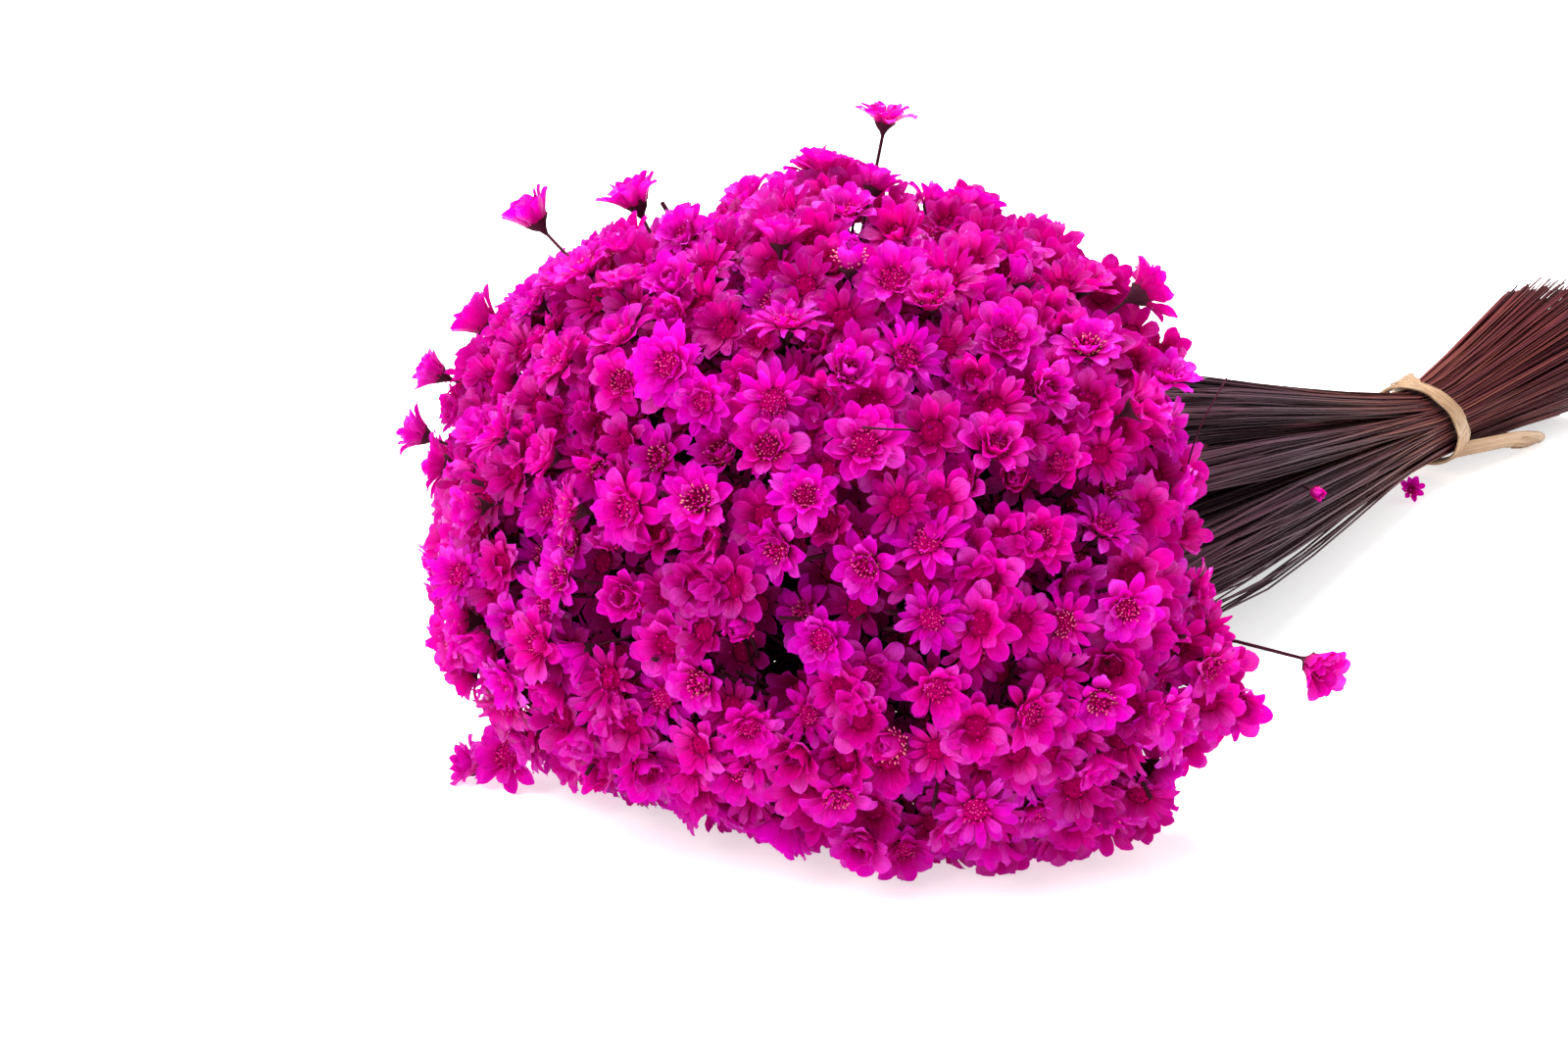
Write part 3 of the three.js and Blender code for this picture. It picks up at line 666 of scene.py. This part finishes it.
# %% The rings of petals of each kind of flower
# A ring: how many, then start, lift, length and half width as shares of the flower's radius, then the
# slope at base and tip in degrees over the flower's plane, and how deeply the petal is cupped.
RINGS = {
    "broad": [(8, 0.33, -0.34, 0.85, 0.31, 50, 4, 0.34), (7, 0.33, -0.25, 0.69, 0.29, 60, 26, 0.42),
              (5, 0.32, -0.16, 0.44, 0.22, 74, 54, 0.5)],
    "daisy": [(12, 0.33, -0.34, 0.87, 0.17, 46, -4, 0.26), (10, 0.33, -0.25, 0.71, 0.16, 58, 18, 0.34),
              (4, 0.32, -0.16, 0.40, 0.14, 74, 54, 0.5)],
    "cup": [(8, 0.36, -0.34, 0.84, 0.30, 70, 34, 0.40), (6, 0.34, -0.24, 0.70, 0.27, 80, 58, 0.5),
            (5, 0.30, -0.12, 0.52, 0.22, 92, 84, 0.55)],
    "bud": [(6, 0.30, -0.34, 0.86, 0.30, 80, 100, 0.55), (5, 0.24, -0.2, 0.70, 0.26, 92, 116, 0.6)],
}
print("petals of each kind:", {name: sum(ring[0] for ring in rings) for name, rings in RINGS.items()})

# %% The petals of one flower, each a little different
# How much petals of a ring differ: in turn, lift, length, width, both slopes, cup and twist.
VARIETY = np.array([0.10, 0.012, 0.07, 0.10, 6, 12, 0.3, 0.10])
RING_LEAN = 9


def petal_table(flower):
    rows = []
    rings = RINGS[KINDS[kind[flower]]][:rings_shown[flower]]
    for count, start, lift, length, width, low, high, cup in rings:
        count += int(chance.integers(-1, 2)) if kind[flower] in (BROAD, DAISY) else 0
        first = chance.random()
        lean = chance.normal(0, RING_LEAN)
        for petal in range(count):
            jitter = VARIETY * chance.normal(0, 1, len(VARIETY))
            rows.append((
                flower, TURN * (first + petal + jitter[0]) / count, start, lift + jitter[1],
                length * (1 + jitter[2]), width * (1 + jitter[3]), math.radians(low + jitter[4]),
                math.radians(high + lean + jitter[5]), cup * (1 + jitter[6]), jitter[7], chance.random()))
    return rows


# %% The line along the middle of each petal, outwards and upwards
def petal_spine(start, lift, length, low, high, s):
    slope = low[:, None] + (high - low)[:, None] * s**0.8
    step = length[:, None] * np.diff(s)
    middle_slope = (slope[:, 1:] + slope[:, :-1]) / 2
    none = np.zeros((len(start), 1))
    out = start[:, None] + np.hstack([none, np.cumsum(np.cos(middle_slope) * step, 1)])
    up = lift[:, None] + np.hstack([none, np.cumsum(np.sin(middle_slope) * step, 1)])
    return out, up, slope


# %% One grid of points for each petal
# Along the petal s runs from base to tip, with closer rows near the tip, and t runs across it.
TORN_SHARE, TORN_DEPTH = 0.24, 0.05
WIDE_BASE, WIDE_TIP, WIDE_TORN_TIP = 0.55, 0.12, 0.42
SHARPEST, BLUNTEST = 2.2, 5.6
WAVE_HEIGHT, PETAL_HEIGHT = 0.05, 0.15


def petal_points(table, rows, columns):
    flower = table[:, 0].astype(int)
    turn, start, lift, length, width, low, high, cup, twist, one = table[:, 1:].T
    s, t = 1 - (1 - np.linspace(0, 1, rows)) ** 1.5, np.linspace(-1, 1, columns)
    size = flowers["radius"][flower]
    out, up, slope = petal_spine(start * size, lift * size, length * size, low, high, s)
    blunt = mixed(SHARPEST, BLUNTEST, one)[:, None]
    shape = (1 - (1 - s) ** 1.7) ** 0.75 * np.clip(1 - s**blunt, 0, 1) ** 0.66
    torn = (chance.random((len(table), 1)) < TORN_SHARE) & (flower[:, None] >= PLACED)
    tip = np.where(torn, WIDE_TORN_TIP, WIDE_TIP)
    half = (width * size)[:, None] * np.maximum(shape * 1.12, mixed(WIDE_BASE, tip, s))
    arch = (cup[:, None] * half)[..., None] * np.abs(t) ** 1.8
    arch += (WAVE_HEIGHT * size[:, None] * s**2 * np.sin(9 * s + 40 * one[:, None]))[..., None] * t
    arch += (twist[:, None] * half * s)[..., None] * t
    radial = out[..., None] - np.sin(slope)[..., None] * arch
    radial[:, -1] += (torn * size[:, None]) * chance.normal(0, TORN_DEPTH, (len(table), columns))
    rise = up[..., None] + np.cos(slope)[..., None] * arch
    side = half[..., None] * t * np.ones_like(arch)
    away = turned(turn, across[flower], along[flower])
    aside = turned(turn, along[flower], -across[flower])
    local = [radial[..., None] * away[:, None, None], side[..., None] * aside[:, None, None],
             rise[..., None] * facing[flower][:, None, None]]
    points = flowers["point"][flower][:, None, None] + sum(local)
    keep_above(points, PETAL_HEIGHT + 0.1 * one[:, None, None])
    grid = np.ones((len(table), rows, columns))
    marks = {"along": grid * s[:, None], "across": grid * t,
             "one": grid * one[:, None, None], "tone": grid * tone[flower][:, None, None]}
    return points.reshape(-1, 3), {mark: values.ravel() for mark, values in marks.items()}


# %% The petals of every spray, with coarser grids for the inner flowers
GRIDS = {3: (8, 5), 2: (6, 3), 1: (5, 3)}
# Each spray's number in the tables, the end of its pieces' names, and the solid that they replace.
sprays = [(spray, f"{spray + 1:02d}", f"heads_{spray + 1:02d}") for spray in range(SPRAYS)]
sprays.append((LOW_BUD, "low_bud", "low_bud"))
petal_count = 0
for spray, number, solid in sprays:
    points, cells, marks, start = [], [], [], 0
    for rings, (rows, columns) in GRIDS.items():
        mine = np.flatnonzero((flowers["spray"] == spray) & (rings_shown == rings))
        if len(mine) == 0:
            continue
        table = np.array([row for flower in mine for row in petal_table(flower)])
        more, its_marks = petal_points(table, rows, columns)
        cells.append(repeated(grid_cells(rows, columns), len(table), rows * columns, first=start))
        points.append(more)
        marks.append(its_marks)
        start += len(more)
        petal_count += len(table)
    make_piece(f"petals_{number}", np.concatenate(points), cells, joined(marks), petal_finish,
               [solid])
print("petals:", petal_count)

# %% [markdown]
# Buttons and bracts. The button is a shallow dome with sixty-four bristles on it, set out like the
# seeds of a sunflower. Behind the petals a cone of small dark bracts narrows to the stalk. Both are
# grids again. A bristle could be a round club, but it is too small for that: three corners at its top
# and one point at its foot show the same.

# %% The dome and the bract cone of a set of flowers
# Each ring of dome and cone: its reach and its height over the flower's middle, as shares of its radius.
DOME_RINGS = np.array([[0.38, -0.28], [0.33, -0.22], [0.18, -0.19], [0.004, -0.20]])
CONE_RINGS = np.array([[0.38, -0.22], [0.36, -0.34], [0.24, -0.50], [0.12, -0.66], [0.05, -0.82]])
ROUND = 7


def rings_round(rows, profile, sides, flare=0.0):
    turn = TURN * np.arange(sides) / sides
    size = flowers["radius"][rows][:, None, None]
    wave = np.cos(3 * turn + 2 * np.arange(len(profile))[:, None])
    out = size * profile[None, :, :1] * (1 + flare * wave)
    up = size * profile[None, :, 1:] * np.ones(sides)
    a, b, n = across[rows][:, None, None], along[rows][:, None, None], facing[rows][:, None, None]
    return (flowers["point"][rows][:, None, None] + (out * np.cos(turn))[..., None] * a
            + (out * np.sin(turn))[..., None] * b + up[..., None] * n)


# %% The bristles of a set of flowers
# How many bristles, how thick, and how light their tips: on outer flowers, then on inner ones, whose
# darker tips are a painted shade.
BRISTLES, INNER_BRISTLES = (64, 0.032, 1), (10, 0.045, 0.6)
BRISTLE_REACH = 0.33
GOLDEN_TURN = TURN * (1 - 1 / 1.6180339887)


def bristle_points(rows, count, thick, light):
    k = np.arange(count)
    out = BRISTLE_REACH * np.sqrt((k + 0.5) / count)
    ring = out / BRISTLE_REACH
    base_up = -0.20 - 0.04 * ring**3
    turn = GOLDEN_TURN * k + chance.normal(0, 0.12, (len(rows), count))
    size = flowers["radius"][rows][:, None]
    ready = ripe[rows][:, None]
    longer = chance.random((len(rows), count))
    length = size * mixed(0.10 + 0.06 * ready, 0.20 + 0.14 * ready, longer)
    spread = 0.7 * ring**2 + 0.6 * ready * ring + chance.normal(0, 0.14, (len(rows), count))
    a, b, n = across[rows][:, None], along[rows][:, None], facing[rows][:, None]
    away, aside = turned(turn, a, b), turned(turn, b, -a)
    foot = flowers["point"][rows][:, None] + (size * out)[..., None] * away
    foot = foot + (size * base_up)[..., None] * n
    way = unit(n + spread[..., None] * away)
    thick = thick * size[..., None]
    top = foot + length[..., None] * way
    thirds = (0, TURN / 3, 2 * TURN / 3)
    corners = [top + thick * (math.cos(third) * away + math.sin(third) * aside) for third in thirds]
    points = np.stack([*corners, foot], axis=2)
    tip = mixed(0.35, 0.80, chance.random((len(rows), count))) * light
    tip = mixed(tip, np.clip(0.2 + 1.2 * ring + chance.normal(0, 0.15, tip.shape), 0, 1), ready)
    foot_mark = 0.05 * np.ones_like(tip)
    return points.reshape(-1, 3), np.stack([tip, tip, tip, foot_mark], axis=-1).ravel()


# %% The buttons and bracts of every spray
CONE_FLARE = 0.10
bristle_cells = np.array([(0, 1, 2), (1, 0, 3), (2, 1, 3), (0, 2, 3)])
dome_cells = grid_cells(len(DOME_RINGS), ROUND, is_round=True)
cone_cells = grid_cells(len(CONE_RINGS), ROUND, is_round=True)[:, ::-1]
for spray, number, solid in sprays:
    rows = np.flatnonzero(flowers["spray"] == spray)
    domes = rings_round(rows, DOME_RINGS, ROUND)
    many, many_colours = bristle_points(rows[~is_inner[rows]], *BRISTLES)
    few, few_colours = bristle_points(rows[is_inner[rows]], *INNER_BRISTLES)
    points = np.concatenate([domes.reshape(-1, 3), many, few])
    # The domes of inner flowers are darker: a painted shade, as they lie under the outer flowers.
    dome_marks = np.where(is_inner[rows], 0.14, 0.30 - 0.26 * ripe[rows])
    dome_marks = np.repeat(dome_marks, len(DOME_RINGS) * ROUND)
    one = np.concatenate([dome_marks, many_colours, few_colours])
    bristles = (len(many) + len(few)) // 4
    cells = [repeated(dome_cells, len(rows), len(DOME_RINGS) * ROUND),
             repeated(bristle_cells, bristles, 4, first=domes.size // 3)]
    none = np.zeros(len(points))
    marks = {"along": none, "across": none, "one": one, "tone": none}
    make_piece(f"buttons_{number}", points, cells, marks, button_finish, [solid])

    cones = rings_round(rows, CONE_RINGS, ROUND, CONE_FLARE)
    grid = np.ones(cones.shape[:3])
    its_tone = grid * tone[rows][:, None, None]
    marks = {"along": 0.05 * grid, "across": grid * np.arange(ROUND), "one": its_tone,
             "tone": 0.5 * its_tone}
    cells = [repeated(cone_cells, len(rows), len(CONE_RINGS) * ROUND)]
    make_piece(f"bracts_{number}", cones, cells, marks, stalk_finish, [solid])
print("buttons and bract cones:", len(sprays))

# %% [markdown]
# Stalks. Each flower's stalk leaves its bracts, bends towards the tie, passes through the tie at the
# flower's own place in the bundle and ends at its own length. A curve object could carry it, but
# a thousand curves are slow. A smooth path for all of them at once, with a three-sided tube round
# each, is one mesh for each spray. Some broken stalks end inside the mass, as in every old bunch.

# %% Smooth paths through a few stops
def smooth_paths(stops, ways, steps):
    parts = []
    for i, count in enumerate(steps):
        near, far = stops[:, i], stops[:, i + 1]
        reach = np.linalg.norm(far - near, axis=-1, keepdims=True)
        for t in np.arange(count) / count:
            parts.append((2 * t**3 - 3 * t**2 + 1) * near + (t**3 - 2 * t**2 + t) * reach * ways[:, i]
                         + (3 * t**2 - 2 * t**3) * far + (t**3 - t**2) * reach * ways[:, i + 1])
    return np.stack([*parts, stops[:, -1]], axis=1)


# %% A tube along each of many paths
def tubes(paths, radii, sides):
    ways = unit(np.gradient(paths, axis=1))
    side = unit(np.cross(ways[:, 0], [0.31, 0.17, 0.93]))
    rings = []
    for i in range(paths.shape[1]):
        side = unit(side - dot(side, ways[:, i]) * ways[:, i])
        other = np.cross(ways[:, i], side)
        ring = turned(TURN * np.arange(sides) / sides, side[:, None], other[:, None])
        rings.append(paths[:, i, None] + radii[:, i, None, None] * ring)
    return np.stack(rings, axis=1)


def tube_cells(count, rows, sides):
    cells = repeated(grid_cells(rows, sides, is_round=True), count, rows * sides)
    lids = np.array([range(sides - 1, -1, -1), range((rows - 1) * sides, rows * sides)])
    return [cells, repeated(lids, count, rows * sides)]


def tube_piece(name, paths, radii, sides, marks, finish, stands_for):
    points = tubes(paths, radii, sides)
    grid = np.ones(points.shape[:3])
    marks = {mark: grid * values for mark, values in marks.items()}
    return make_piece(name, points, tube_cells(*paths.shape[:2], sides), marks, finish, stands_for)


# %% The radius and height of the bundle behind the tie
def bundle_behind(distance):
    share = np.maximum(0, distance - GRIP_BACK) / (CUT_LENGTH - GRIP_BACK)
    return mixed(BUNDLE_RADIUS, CUT_RADIUS, share), mixed(TIE_MIDDLE[2], CUT_RADIUS, share)


print("radius and height at the cut ends:", bundle_behind(CUT_LENGTH), "mm")

# %% Where each stalk passes
# The stops: bracts, core of the spray, half way, front and back of the tie, and cut end.
OUT_OF_PLACE, FAN_OUT_OF_PLACE, BEND = 0.045, 0.05, 1.1
SAG_SHARE, SAG = 0.4, [1.5, 0, -5]


def within(places):
    return places / np.maximum(1, np.linalg.norm(places, axis=-1, keepdims=True))


def stalk_stops(neck, core, u, v):
    count = len(u)
    jitter = chance.normal(0, 1, (count, 8))
    jitter[v > 0.5, 6] = -np.abs(jitter[v > 0.5, 6])
    inside = within(0.97 * np.stack([u, v], -1) + OUT_OF_PLACE * jitter[:, :2])
    grip = BUNDLE_RADIUS * inside
    front = np.stack([grip[:, 0], np.full(count, -GRIP_FRONT), TIE_MIDDLE[2] + grip[:, 1]], -1)
    back = front + [0, GRIP_FRONT + GRIP_BACK, 0]
    cut = CUT_LENGTH - CUT_UNEVEN * chance.random(count)
    radius, height = bundle_behind(cut)
    fan = within(inside + FAN_OUT_OF_PLACE * jitter[:, 2:4])
    end = np.stack([radius * fan[:, 0], cut, height + radius * fan[:, 1]], -1)
    middle = mixed(core, front, 0.5) + BEND * jitter[:, 4:7] * [1, 0, 1]
    sagging = (chance.random(count) < SAG_SHARE) & (v < -0.5)
    middle[sagging] += chance.random((int(sagging.sum()), 1)) * SAG
    return np.stack([neck, core, middle, front, back, end], axis=1)


def stalk_ways(stops, first_way):
    ways = unit(stops[:, 2:] - stops[:, :-2])
    return np.concatenate([first_way[:, None], ways, unit(stops[:, -1:] - stops[:, -2:-1])], axis=1)


# %% The stalks of every spray
BROKEN = 110
THINNEST, THICKEST, STRAY_STALK = 0.19, 0.31, 0.34
NECK, NECK_HEIGHT, STALK_HEIGHT = 0.78, 0.8, 0.6
ROOT_SCATTER, ROOT_BACK = 1.6, 7
STALK_SIDES = 3
STEPS = (3, 3, 4, 2, 3)
index = FIRST_BROKEN + np.arange(BROKEN)
broken = blooms_round(index, np.sqrt(chance.random(BROKEN)), TURN * chance.random(BROKEN),
                      mixed(16, 40, chance.random(BROKEN)))
stalk_count = 0
for spray, number, _ in sprays[:SPRAYS]:
    rows = np.flatnonzero(flowers["spray"] == spray)
    more = np.flatnonzero(broken["spray"] == spray)
    neck = flowers["point"][rows] - NECK * flowers["radius"][rows][:, None] * facing[rows]
    keep_above(neck, NECK_HEIGHT)
    neck = np.concatenate([neck, broken["point"][more]])
    root = np.concatenate([flowers["root"][rows], broken["root"][more]])
    root = root + ROOT_SCATTER * np.clip(chance.normal(0, 1, root.shape), -1.5, 1.5)
    root = root - ROOT_BACK * growth[spray]
    first_way = np.concatenate([-facing[rows], -broken["facing"][more]])
    u = np.concatenate([flowers["u"][rows], broken["u"][more]])
    v = np.concatenate([flowers["v"][rows], broken["v"][more]])
    stops = stalk_stops(neck, root, u, v)
    paths = smooth_paths(stops, stalk_ways(stops, first_way), STEPS)
    keep_above(paths, STALK_HEIGHT)
    count, length = paths.shape[:2]
    radii = mixed(THINNEST, THICKEST, chance.random((count, 1))) * np.ones(length)
    radii[:len(rows)][rows < PLACED] = STRAY_STALK
    share = np.cumsum(np.linalg.norm(np.diff(paths, axis=1, prepend=paths[:, :1]), axis=-1), axis=1)
    marks = {"along": (share / share[:, -1:])[..., None], "across": np.arange(STALK_SIDES),
             "one": chance.random((count, 1, 1)), "tone": chance.random((count, 1, 1)) ** 1.5}
    piece = tube_piece(f"stalks_{number}", paths, radii, STALK_SIDES, marks, stalk_finish,
                       [f"stems_{number}"])
    stalk_count += count
print("stalks:", stalk_count, "triangles in the last piece:", triangles(piece))

# %% [markdown]
# Loose bits. Stalks snap when such a bunch is packed and shaken, so short pieces hang inside the mass.
# Here there are many of them, dark, and they also stand in for the shade deep in the mass, so that the
# inside is dark, as it is in the real bunch. One more lies across the flowers, and a bare stalk sticks
# out where a flower fell off. Each is a short bent tube, like the stalks.

# %% Broken pieces caught inside the mass, which also stand in for its shade, and the ones that show
INSIDE_BITS, BIT_HEIGHT = 2400, 1.0
# Start, middle and end: one across the flowers, and a bare stalk on the right.
SHOWN_BITS = [
    [[40.0, -316.8, 78.5], [43.0, -314.6, 78.2], [46.1, -312.3, 78.1]],
    [[60, -252, 58], [67.2, -261.5, 70.8], [69.8, -257.5, 79.0]],
]
index = FIRST_BIT + np.arange(INSIDE_BITS)
# They take the darkest colour of the stalks, and so also stand in for the shade deep inside the mass.
caught = blooms_round(index, np.sqrt(draw(index, 0)), TURN * draw(index, 1), mixed(13, 48, draw(index, 3)))
way = unit(growth[caught["spray"]] + 0.75 * chance.normal(0, 1, (INSIDE_BITS, 3)))
half_length = mixed(8, 17, chance.random((INSIDE_BITS, 1)))
bend = 1.5 * chance.normal(0, 1, (INSIDE_BITS, 3))
bits = np.stack([caught["point"] - half_length * way, caught["point"] + bend,
                 caught["point"] + half_length * way], axis=1)
keep_above(bits, BIT_HEIGHT)
shown_bits = np.array(SHOWN_BITS)
for name, group, steps, thick in (("caught_bits_shade_fill", bits, 1, 0.50), ("shown_bits", shown_bits, 4, 0.24)):
    paths = smooth_paths(group, unit(np.gradient(group, axis=1)), (steps, steps))
    count, length = paths.shape[:2]
    radii = thick * mixed(0.7, 1, chance.random((count, 1))) * np.ones(length)
    marks = {"along": 0, "across": np.arange(STALK_SIDES), "one": chance.random((count, 1, 1)), "tone": 0}
    piece = tube_piece(name, paths, radii, STALK_SIDES, marks, stalk_finish, ["stems_01"])
    print(name, count, "triangles:", triangles(piece))

# %% [markdown]
# The tie is a flat band of natural fibre, wound once tightly and once loosely, so that the slack turn
# hangs off the bundle behind the tight one. It follows the path of its solid: a leaning ring, and an arc
# that strays back. Its section is a flat rounded bar, and fine fibres lie along its face.

# %% The path of each turn of the tie, from the same numbers as its solid
BAND_WIDTH, BAND_THICK, BAND_AT, BAND_LEAN, BAND_SLACK, BAND_BULGE = 6.5, 1.0, -4, 7, 48, 4.5
BAND_LOWEST, SECOND_EARLY, BAND_REACH = 0.5, 0.4, 0.7
SECOND_FROM, SECOND_TO = math.radians(-35), math.radians(-268)
NEXT_PLACE = 0.004


def band_place(share, is_second):
    turn = mixed(SECOND_FROM, SECOND_TO, share) if is_second else TURN * share
    stray = BAND_SLACK * np.sin(math.pi * np.clip(share, 0, 1) ** SECOND_EARLY) if is_second else 0 * share
    y = BAND_AT + stray - BAND_LEAN * np.sin(turn)
    radius, height = bundle_behind(y)
    bulge = BAND_BULGE * stray / BAND_SLACK * np.maximum(0, -np.sin(2 * turn))
    out = np.stack([np.cos(turn), 0 * turn, np.sin(turn)], -1)
    return np.stack([0 * turn, y, height], -1) + (radius + BAND_REACH + bulge)[:, None] * out, out


def band_frame(share, is_second):
    place, out = band_place(share, is_second)
    ahead = band_place(share + NEXT_PLACE, is_second)[0]
    behind = band_place(share - NEXT_PLACE, is_second)[0]
    return place, out, unit(np.cross(unit(ahead - behind), out))


# %% The two turns of the tie
SECTION_SIDES, NARROWER = 14, 0.16
section_turn = TURN * np.arange(SECTION_SIDES) / SECTION_SIDES
section_wide = np.sign(np.cos(section_turn)) * np.abs(np.cos(section_turn)) ** 0.5
section_thick = 0.5 + 0.5 * np.sign(np.sin(section_turn)) * np.abs(np.sin(section_turn)) ** 0.6
points, cells, marks = [], [], {"along": [], "across": [], "one": [], "tone": []}
start = 0
for is_second, count in ((False, 120), (True, 80)):
    share = np.linspace(0, 1, count)
    place, out, wide = band_frame(share, is_second)
    narrow = 0.5 * BAND_WIDTH * (1 - NARROWER * np.cos(5 * TURN * share)[:, None] ** 2)
    ring = (place[:, None] + (narrow * section_wide)[..., None] * wide[:, None]
            + (BAND_THICK * section_thick)[None, :, None] * out[:, None])
    keep_above(ring, BAND_LOWEST)
    points.append(ring.reshape(-1, 3))
    cells += [part + start for part in tube_cells(1, count, SECTION_SIDES)]
    grid = np.ones(ring.shape[:2])
    its_marks = {"along": 4 * share[:, None], "across": section_wide, "one": 0.3, "tone": 0.5}
    for mark, values in its_marks.items():
        marks[mark].append((grid * values).ravel())
    start += ring.size // 3
marks = {mark: np.concatenate(values) for mark, values in marks.items()}
tie = make_piece("tie_turns", np.concatenate(points), cells, marks, tie_finish, ["tie_band"])
print("tie triangles:", triangles(tie))

# %% The fibres on both turns
FIBRES, FIBRE_STEPS, FIBRE_RADIUS, FIBRE_SIDES = 26, 60, 0.14, 4
fibre_paths = []
for i in range(FIBRES):
    is_second = i % 2 == 1
    share = np.linspace(0.02, 0.98, FIBRE_STEPS)
    place, out, wide = band_frame(share, is_second)
    lane = BAND_WIDTH * (0.44 * (2 * chance.random() - 1) + 0.02 * np.sin(9 * share + 6 * chance.random()))
    path = place + lane[:, None] * wide + (BAND_THICK * 0.97) * out
    keep_above(path, BAND_LOWEST + 0.1)
    fibre_paths.append(path)
fibre_paths = np.array(fibre_paths)
radii = np.full(fibre_paths.shape[:2], FIBRE_RADIUS)
marks = {"along": np.linspace(0, 4, FIBRE_STEPS)[:, None], "across": 0,
         "one": chance.random((FIBRES, 1, 1)), "tone": 0.5}
fibres = tube_piece("tie_fibres", fibre_paths, radii, FIBRE_SIDES, marks, tie_finish, ["tie_band"])
print("fibres:", FIBRES, "triangles:", triangles(fibres))

# %% [markdown]
# The stage: a plain white table that runs out of the picture, soft light from a large panel over the
# flowers and a weaker one in front, and a white surrounding. The table glows faintly, like the lit
# table of a photographer, which keeps it white and its shadows pale. It is no part of the bunch.

# %% The table
TABLE_SPAN = 30.0
floor_mesh = bpy.data.meshes.new("table_top")
corners = [(TABLE_SPAN * x, TABLE_SPAN * y, 0) for x, y in ((-1, -1), (1, -1), (1, 1), (-1, 1))]
floor_mesh.from_pydata(corners, [], [(0, 1, 2, 3)])
floor = bpy.data.objects.new("table_top", floor_mesh)
bpy.context.scene.collection.objects.link(floor)
floor_finish = bpy.data.materials.new("white_table")
floor_finish.use_nodes = True
white = floor_finish.node_tree.nodes["Principled BSDF"]
for label, value in (("Base Color", (0.97, 0.97, 0.97, 1)), ("Roughness", 0.9), ("Specular IOR Level", 0.0),
                     ("Emission Color", (1, 1, 1, 1)), ("Emission Strength", 0.58)):
    white.inputs[label].default_value = value
floor_mesh.materials.append(floor_finish)
print("table:", 2 * TABLE_SPAN, "m wide")

# %% The light
def panel(name, place, aim, size, power):
    lamp = bpy.data.lights.new(name, "AREA")
    lamp.shape, lamp.size, lamp.energy = "DISK", size, power
    made = bpy.data.objects.new(name, lamp)
    made.location = place
    made.rotation_euler = (Vector(aim) - Vector(place)).to_track_quat("-Z", "Y").to_euler()
    bpy.context.scene.collection.objects.link(made)


aim = (0.0, -0.14, 0.04)
panel("panel_over", (-0.16, 0.10, 0.76), aim, 0.56, 17.5)
panel("panel_front", (-0.06, -0.75, 0.54), aim, 0.50, 4.5)
world = bpy.data.worlds.new("white_room")
bpy.context.scene.world = world
world.use_nodes = True
background = world.node_tree.nodes["Background"]
background.inputs["Color"].default_value = (1, 1, 1, 1)
background.inputs["Strength"].default_value = 0.76
bpy.context.scene.view_settings.view_transform = "Standard"
print("lamps:", [lamp.name for lamp in bpy.data.lights])

# %% [markdown]
# The camera. The photograph was taken from the front right of the flowers, a little above them, from
# half a metre away. A long lens keeps the far end of the bunch large. The lens and the place were found
# by laying the solids over the photograph. They could be typed in as a place and three angles, but they
# are kept as an aim at the middle of the flowers, and the spot of the picture where that shows.

# %% The camera of the photograph
VIEW_TURN, VIEW_RISE, VIEW_DISTANCE = math.radians(34.5), math.radians(15), 500
PICTURE_WIDTH, PICTURE_HEIGHT, FOCAL_PIXELS = 1600, 1062, 3000
AIM_PIXEL = (845, 603)
SENSOR_WIDTH = 36
back = np.array([math.sin(VIEW_TURN) * math.cos(VIEW_RISE), -math.cos(VIEW_TURN) * math.cos(VIEW_RISE),
                 math.sin(VIEW_RISE)])
right_way = np.array([math.cos(VIEW_TURN), math.sin(VIEW_TURN), 0])
up_way = np.cross(back, right_way)
pixel = VIEW_DISTANCE / FOCAL_PIXELS
eye = HEAD_MIDDLE + shift + back * VIEW_DISTANCE
eye = eye - right_way * (AIM_PIXEL[0] - PICTURE_WIDTH / 2) * pixel
eye = eye + up_way * (AIM_PIXEL[1] - PICTURE_HEIGHT / 2) * pixel
lens = bpy.data.cameras.new("camera")
lens.lens, lens.sensor_width = FOCAL_PIXELS / PICTURE_WIDTH * SENSOR_WIDTH, SENSOR_WIDTH
lens.clip_start, lens.clip_end = 0.01, 20
camera = bpy.data.objects.new("camera", lens)
camera.location = eye * MM
camera.rotation_euler = (-Vector(back)).to_track_quat("-Z", "Y").to_euler()
bpy.context.scene.collection.objects.link(camera)
bpy.context.scene.camera = camera
print("camera at", (eye * MM).round(3), "lens", round(lens.lens, 1))

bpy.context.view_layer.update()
